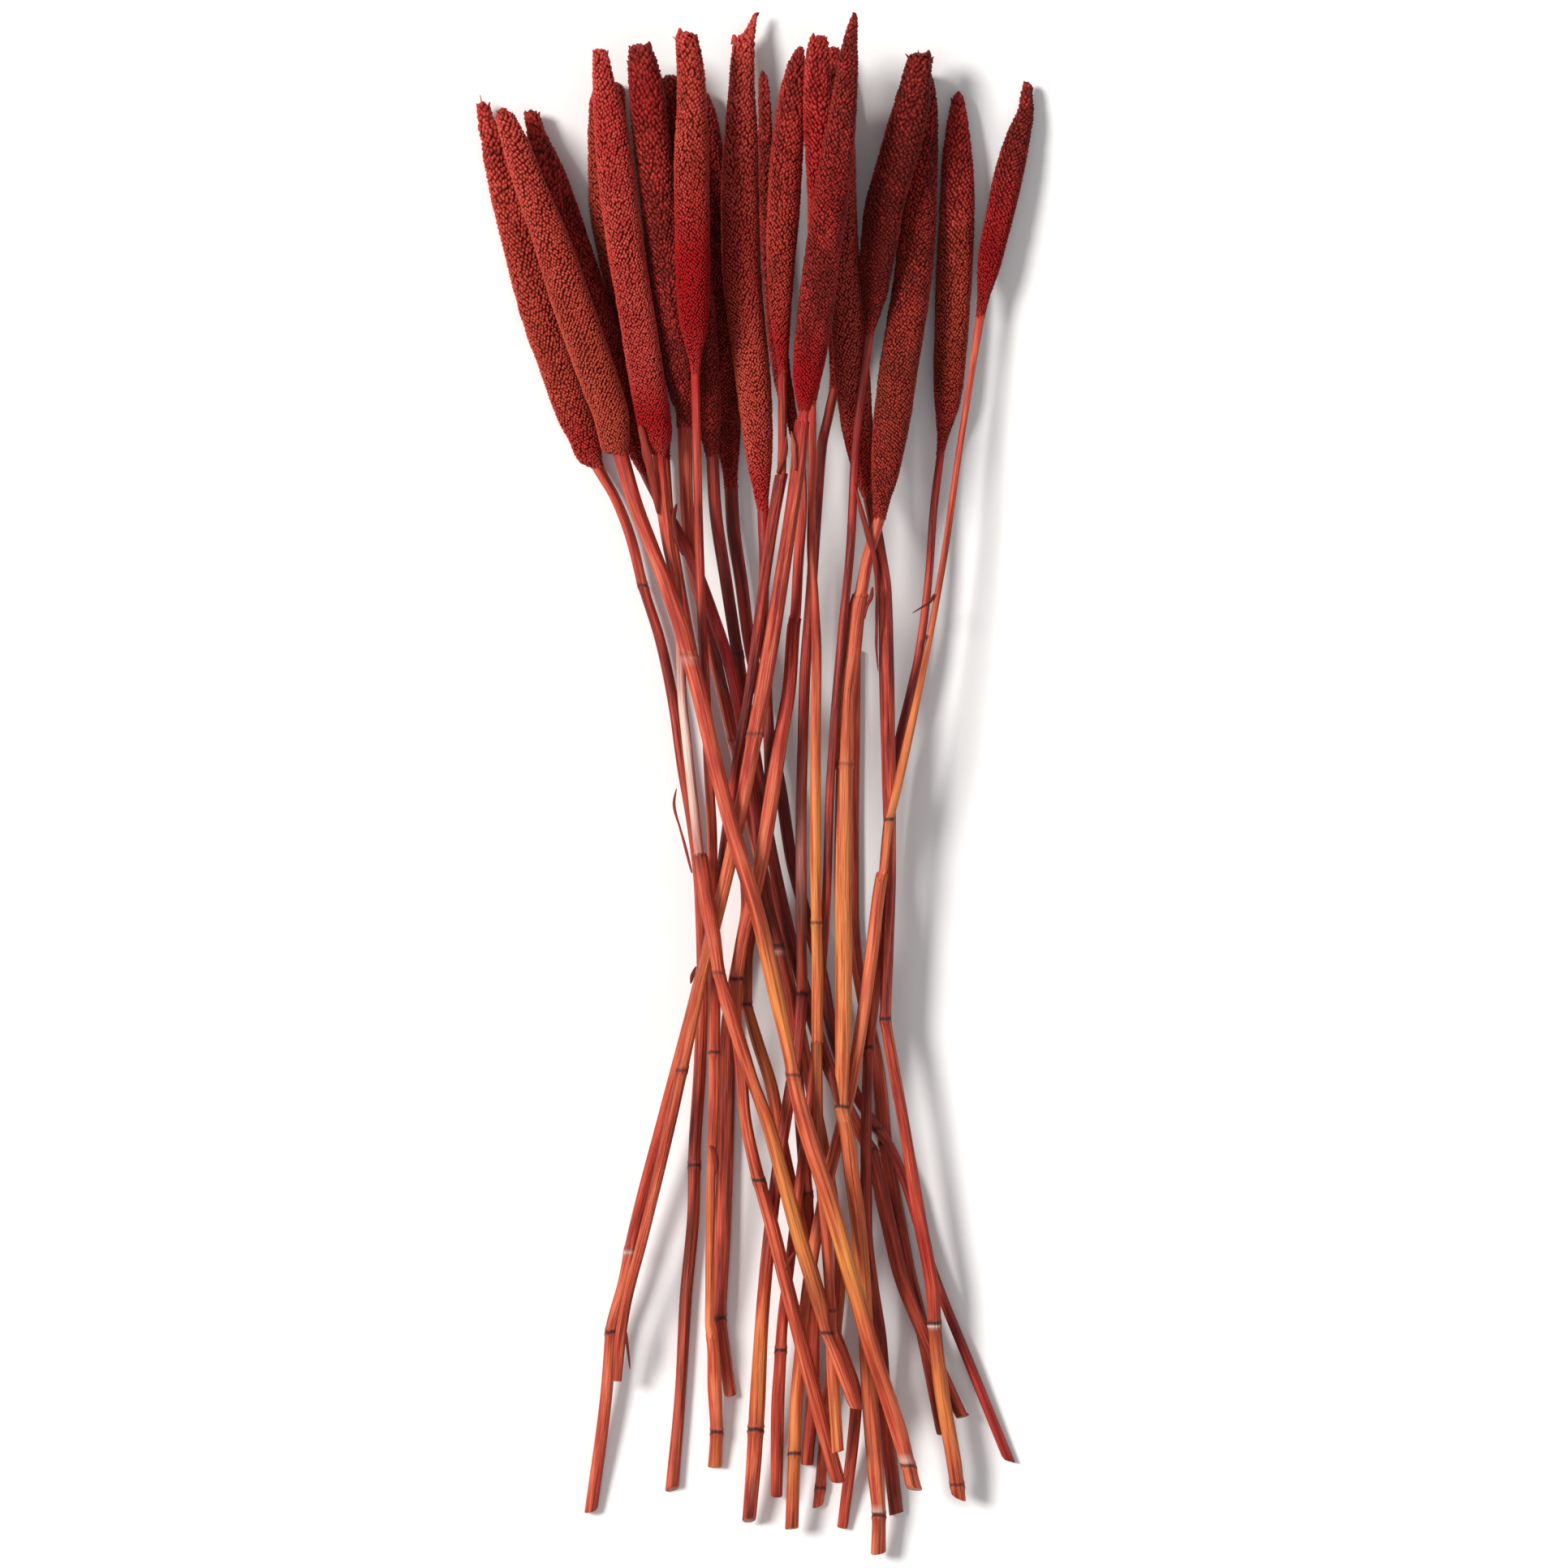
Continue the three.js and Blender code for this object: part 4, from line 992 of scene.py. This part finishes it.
def cane_fields(ident, y, angle, radius, dark, bared):
    """The values that the cane's material reads, at every point of it.

    The tone is the cane's own, with a ripple along it, a random step at each joint, less of it
    towards the head, and more where a sheath has bared it. Stretches of a colour are bells of Y,
    and the pale ones, partly undyed cane and partly painted glints, show most on the side turned
    up towards the key light, as a painted highlight. The last three place the noise.
    """
    tone, warm, ribs = STALK_LOOKS[ident]
    seed = int(ident)
    rings, sides = radius.shape
    lower = np.clip((70 * MM - y) / (190 * MM), 0.1, 1)
    between = np.sum([y > at * MM for at, _ in JOINTS[ident]], axis=0)
    wander = 0.1 * ripple(np.zeros(rings), y / (120 * MM), seed + 90)
    wander += np.random.default_rng(seed + 70).uniform(-0.13, 0.13, 4)[between]
    # Painted highlight: pale stretches show most on the side turned up and to the left, towards the key
    # light.
    facing = 0.3 + 0.7 * np.clip(1.7 * np.cos(angle - 2.0) - 0.5, 0, 1)
    halo = sum(0.6 * ring * np.exp(-np.abs(y - at * MM) / (6 * MM)) for at, ring in JOINTS[ident])
    orange = np.clip(warm * 0.28 * lower + swell(y, WARM_ZONES.get(ident, [])), 0, 1)
    pale = np.clip(swell(y, PALE_ZONES.get(ident, [])), 0, 1)
    red = np.clip(swell(y, RED_NECKS.get(ident, [])), 0, 1)
    cut = np.zeros(rings * sides + 2)
    cut[-2:] = 1.0
    return {
        "tone": per_ring(tone + wander - 0.1 * (1 - lower), sides) + per_point(bared),
        "warm": per_ring(orange, sides),
        "pale": per_ring(pale, sides) * per_point(facing[None] * (bared > -0.02)),
        "joint_ring_and_split_shade": per_point(dark),
        "halo": per_ring(halo, sides),
        "red": per_ring(red, sides),
        "ribs": per_ring(np.full(rings, ribs), sides),
        "cut": cut,
        "round_x": per_point(radius * np.cos(angle)) + 0.1 * seed,
        "round_z": per_point(radius * np.sin(angle)),
        "length": per_ring(y, sides),
    }


def leaf_piece(name):
    """A thin closed strip along its solid's rings: points, faces and fields.

    Across it, x follows the sine of the curl and z follows an arch, one half less the squared
    share of the width. The width tapers at both ends as the power 0.35 of a sine, and a ripple
    tears its edges. The two skins lie 0.12 mm to each side of the arch.
    """
    curl, torn, tone = LEAF_LOOKS.get(name, PLAIN_LEAF)
    rows = stations(name, LEAF_SIDES)
    seed = sum(map(ord, name))
    y = np.linspace(rows[0, 0], rows[-1, 0], LEAF_RINGS)
    here = eased(y, rows)
    middle_x, middle_z, half = here[:, :1], here[:, 1:2], here[:, 2:3]
    share = np.linspace(-1, 1, LEAF_ACROSS)
    both = np.concatenate([share, share[::-1]])[None]
    skin = np.repeat([1.0, -1.0], LEAF_ACROSS)[None]
    taper = np.sin(np.clip((y - y[0]) / (y[-1] - y[0]), 0, 1) * math.pi)[:, None] ** 0.35
    ragged = 1 - torn * 0.35 * (1 + ripple(np.sign(both), y[:, None] / (9 * MM), seed))
    width = half * (0.25 + 0.75 * taper) * ragged
    x = middle_x + width * np.sin(both * curl) / max(math.sin(min(curl, 1.5)), 0.3)
    arch = half * 0.5 * curl * (0.5 - both**2)
    z = middle_z + np.clip(arch, -0.4 * MM, 0.5 * MM) + skin * 0.12 * MM
    x, z = x[:, ::-1], z[:, ::-1]
    level = np.repeat(y[:, None], x.shape[1], axis=1)
    points, faces = solid_of_rings(x, level, z)
    fields = {
        "tone": np.full(len(points), tone),
        "round_x": per_point(x - middle_x) + 0.1 * (seed % 9),
        "round_z": per_point(z - middle_z),
        "length": per_ring(y, x.shape[1]),
    }
    return points, faces, fields


def colour(name, description, default):
    """A colour that a user can change."""
    return bpy.props.FloatVectorProperty(
        name=name, description=description, default=default, subtype="COLOR"
    )


def length(name, description, default):
    """A length that a user can change."""
    return bpy.props.FloatProperty(
        name=name, description=description, default=default, unit="LENGTH"
    )


class MilletSizes(bpy.types.PropertyGroup):
    """Sizes and colours of the bunch that a user would change."""

    grain_spacing: length("Grain spacing", "Mean distance between grains", 0.00144)
    husk_colour: colour("Husk", "Colour of most grains", (0.48, 0.036, 0.029))
    husk_dark: colour("Dark husk", "Colour of the darkest grains", (0.14, 0.014, 0.01))
    husk_light: colour("Light husk", "Colour of the lightest grains", (0.7, 0.1, 0.074))
    husk_faded: colour("Faded husk", "Colour where the dye has faded", (0.5, 0.115, 0.045))
    dye_red: colour("Gathered dye", "Colour where the dye gathers", (0.43, 0.002, 0.007))
    # Painted shade: the colour of the shade between the grains, also on each grain's rim and root and
    # on the head's core.
    gap_shade_colour: colour("Gaps", "Colour between the grains", (0.14, 0.01, 0.009))
    cane_colour: colour("Cane", "Colour of most canes", (0.45, 0.042, 0.024))
    cane_dark: colour("Dark cane", "Colour of the darkest canes", (0.13, 0.01, 0.008))
    cane_light: colour("Light cane", "Colour of the lightest canes", (0.72, 0.17, 0.085))
    cane_warm: colour("Warm cane", "Colour of thinly dyed stretches", (0.76, 0.29, 0.06))
    # Also the colour of the painted glints at the joints and of the painted highlight along stalk 04.
    undyed_and_glint: colour("Undyed", "Colour of bare stretches", (0.72, 0.6, 0.52))
    # Also the colour of the painted shade in the splits at the cut ends.
    joint_and_split_shade_colour: colour("Joints", "Colour of the rings at the joints", (0.035, 0.01, 0.01))
    pith_light: colour("Pith", "Light colour of a cut end", (0.55, 0.3, 0.17))
    pith_dark: colour("Dark pith", "Dark colour of a cut end", (0.25, 0.08, 0.04))
    leaf_colour: colour("Leaf", "Colour of the leaves", (0.3, 0.034, 0.022))
    leaf_dark: colour("Dark leaf", "Colour of the darkest leaves", (0.05, 0.01, 0.008))
    leaf_light: colour("Light leaf", "Colour of the lightest leaves", (0.5, 0.15, 0.09))
    floor_colour: colour("Floor", "Colour of the floor", (0.9, 0.9, 0.9))
    view_width: length("View width", "Width of the picture at the bunch", 0.7245)
    view_height: length("View height", "Height of the camera", 5.0)


class MILLET_OT_heads(bpy.types.Operator):
    """Grains, broken bristles and a core dark with painted shade for every seed head"""

    bl_idname = "millet.heads"
    bl_label = "Seed heads"

    def execute(self, context):
        sizes = context.scene.millet_sizes
        material = husk_material(sizes)
        for ident in HEADS:
            rows = domed(stations("head_" + ident, HEAD_SIDES), ident)
            rng = np.random.default_rng(int(ident) + 100)
            parts = [
                head_core(rows, ident),
                head_grains(rows, ident, sizes, rng),
                crown_shreds(rows, ident, rng),
                *crown_teeth(rows, ident),
            ]
            made("grains_" + ident, *joined(parts), material, "seed_head", ["head_" + ident])
        return {"FINISHED"}


class MILLET_OT_stalks(bpy.types.Operator):
    """Canes with ribs, joints, sheath edges and cut ends"""

    bl_idname = "millet.stalks"
    bl_label = "Canes"

    def execute(self, context):
        sizes = context.scene.millet_sizes
        material = cane_material(sizes)
        for ident in STALKS:
            made("cane_" + ident, *cane_piece(ident), material, "cane", ["stalk_" + ident])
        return {"FINISHED"}


class MILLET_OT_leaves(bpy.types.Operator):
    """Torn leaves and sheaths as thin curled strips"""

    bl_idname = "millet.leaves"
    bl_label = "Dry leaves"

    def execute(self, context):
        sizes = context.scene.millet_sizes
        material = leaf_material(sizes)
        for name in LEAVES:
            made("leaf_" + name, *leaf_piece(name), material, "dry_leaf", [name])
        return {"FINISHED"}


def distant_light(name, towards, spread, power, colour):
    """A light far off in a direction, whose shadows soften by its spread in degrees."""
    lamp = bpy.data.lights.new(name, "SUN")
    lamp.angle = math.radians(spread)
    lamp.energy = power
    lamp.color = colour
    piece = bpy.data.objects.new(name, lamp)
    bpy.context.collection.objects.link(piece)
    piece.rotation_euler = Vector(towards).to_track_quat("Z", "Y").to_euler()


class MILLET_OT_stage(bpy.types.Operator):
    """Pale floor, soft lights and the camera straight above"""

    bl_idname = "millet.stage"
    bl_label = "Stage"

    def execute(self, context):
        sizes = context.scene.millet_sizes
        mesh = bpy.data.meshes.new("floor")
        far = FLOOR_REACH
        corners = [(-far, -far, 0), (far, -far, 0), (far, far, 0), (-far, far, 0)]
        mesh.from_pydata(corners, [], [(0, 1, 2, 3)])
        floor = bpy.data.objects.new("floor", mesh)
        bpy.context.collection.objects.link(floor)
        mesh.materials.append(floor_material(sizes))

        context.scene.view_settings.view_transform = "Standard"
        distant_light("key", (-0.82, 0.28, 1.0), 18, 3.4, (1.0, 0.975, 0.94))
        distant_light("over", (0.15, -0.3, 1.0), 60, 0.6, (0.97, 0.98, 1.0))

        world = bpy.data.worlds.new("studio")
        world.use_nodes = True
        sky = world.node_tree.nodes["Background"]
        sky.inputs["Color"].default_value = (1, 1, 1, 1)
        sky.inputs["Strength"].default_value = 0.26
        context.scene.world = world

        lens = bpy.data.cameras.new("camera")
        lens.sensor_width = SENSOR
        lens.lens = SENSOR * (sizes.view_height - MIDDLE_HEIGHT) / sizes.view_width
        lens.clip_end = 50.0
        camera = bpy.data.objects.new("camera", lens)
        bpy.context.collection.objects.link(camera)
        camera.location = (*PICTURE_CENTRE, sizes.view_height)
        context.scene.camera = camera
        return {"FINISHED"}


class MILLET_PT_panel(bpy.types.Panel):
    """The bunch in the sidebar"""

    bl_label = "Dried millet"
    bl_idname = "MILLET_PT_panel"
    bl_space_type = "VIEW_3D"
    bl_region_type = "UI"
    bl_category = "Millet"

    def draw(self, context):
        sizes = context.scene.millet_sizes
        for key in sizes.bl_rna.properties.keys():
            if key not in ("rna_type", "name"):
                self.layout.prop(sizes, key)
        for operator in OPERATORS:
            self.layout.operator(operator.bl_idname)


OPERATORS = (MILLET_OT_heads, MILLET_OT_stalks, MILLET_OT_leaves, MILLET_OT_stage)
CLASSES = (MilletSizes, *OPERATORS, MILLET_PT_panel)


def register():
    """Adds the classes and the scene's sizes."""
    for item in CLASSES:
        bpy.utils.register_class(item)
    bpy.types.Scene.millet_sizes = bpy.props.PointerProperty(type=MilletSizes)


def unregister():
    """Takes them away again."""
    del bpy.types.Scene.millet_sizes
    for item in reversed(CLASSES):
        bpy.utils.unregister_class(item)


def main():
    """Builds every group of pieces and the stage."""
    register()
    bpy.ops.millet.heads()
    bpy.ops.millet.stalks()
    bpy.ops.millet.leaves()
    bpy.ops.millet.stage()


if __name__ == "__main__":
    main()
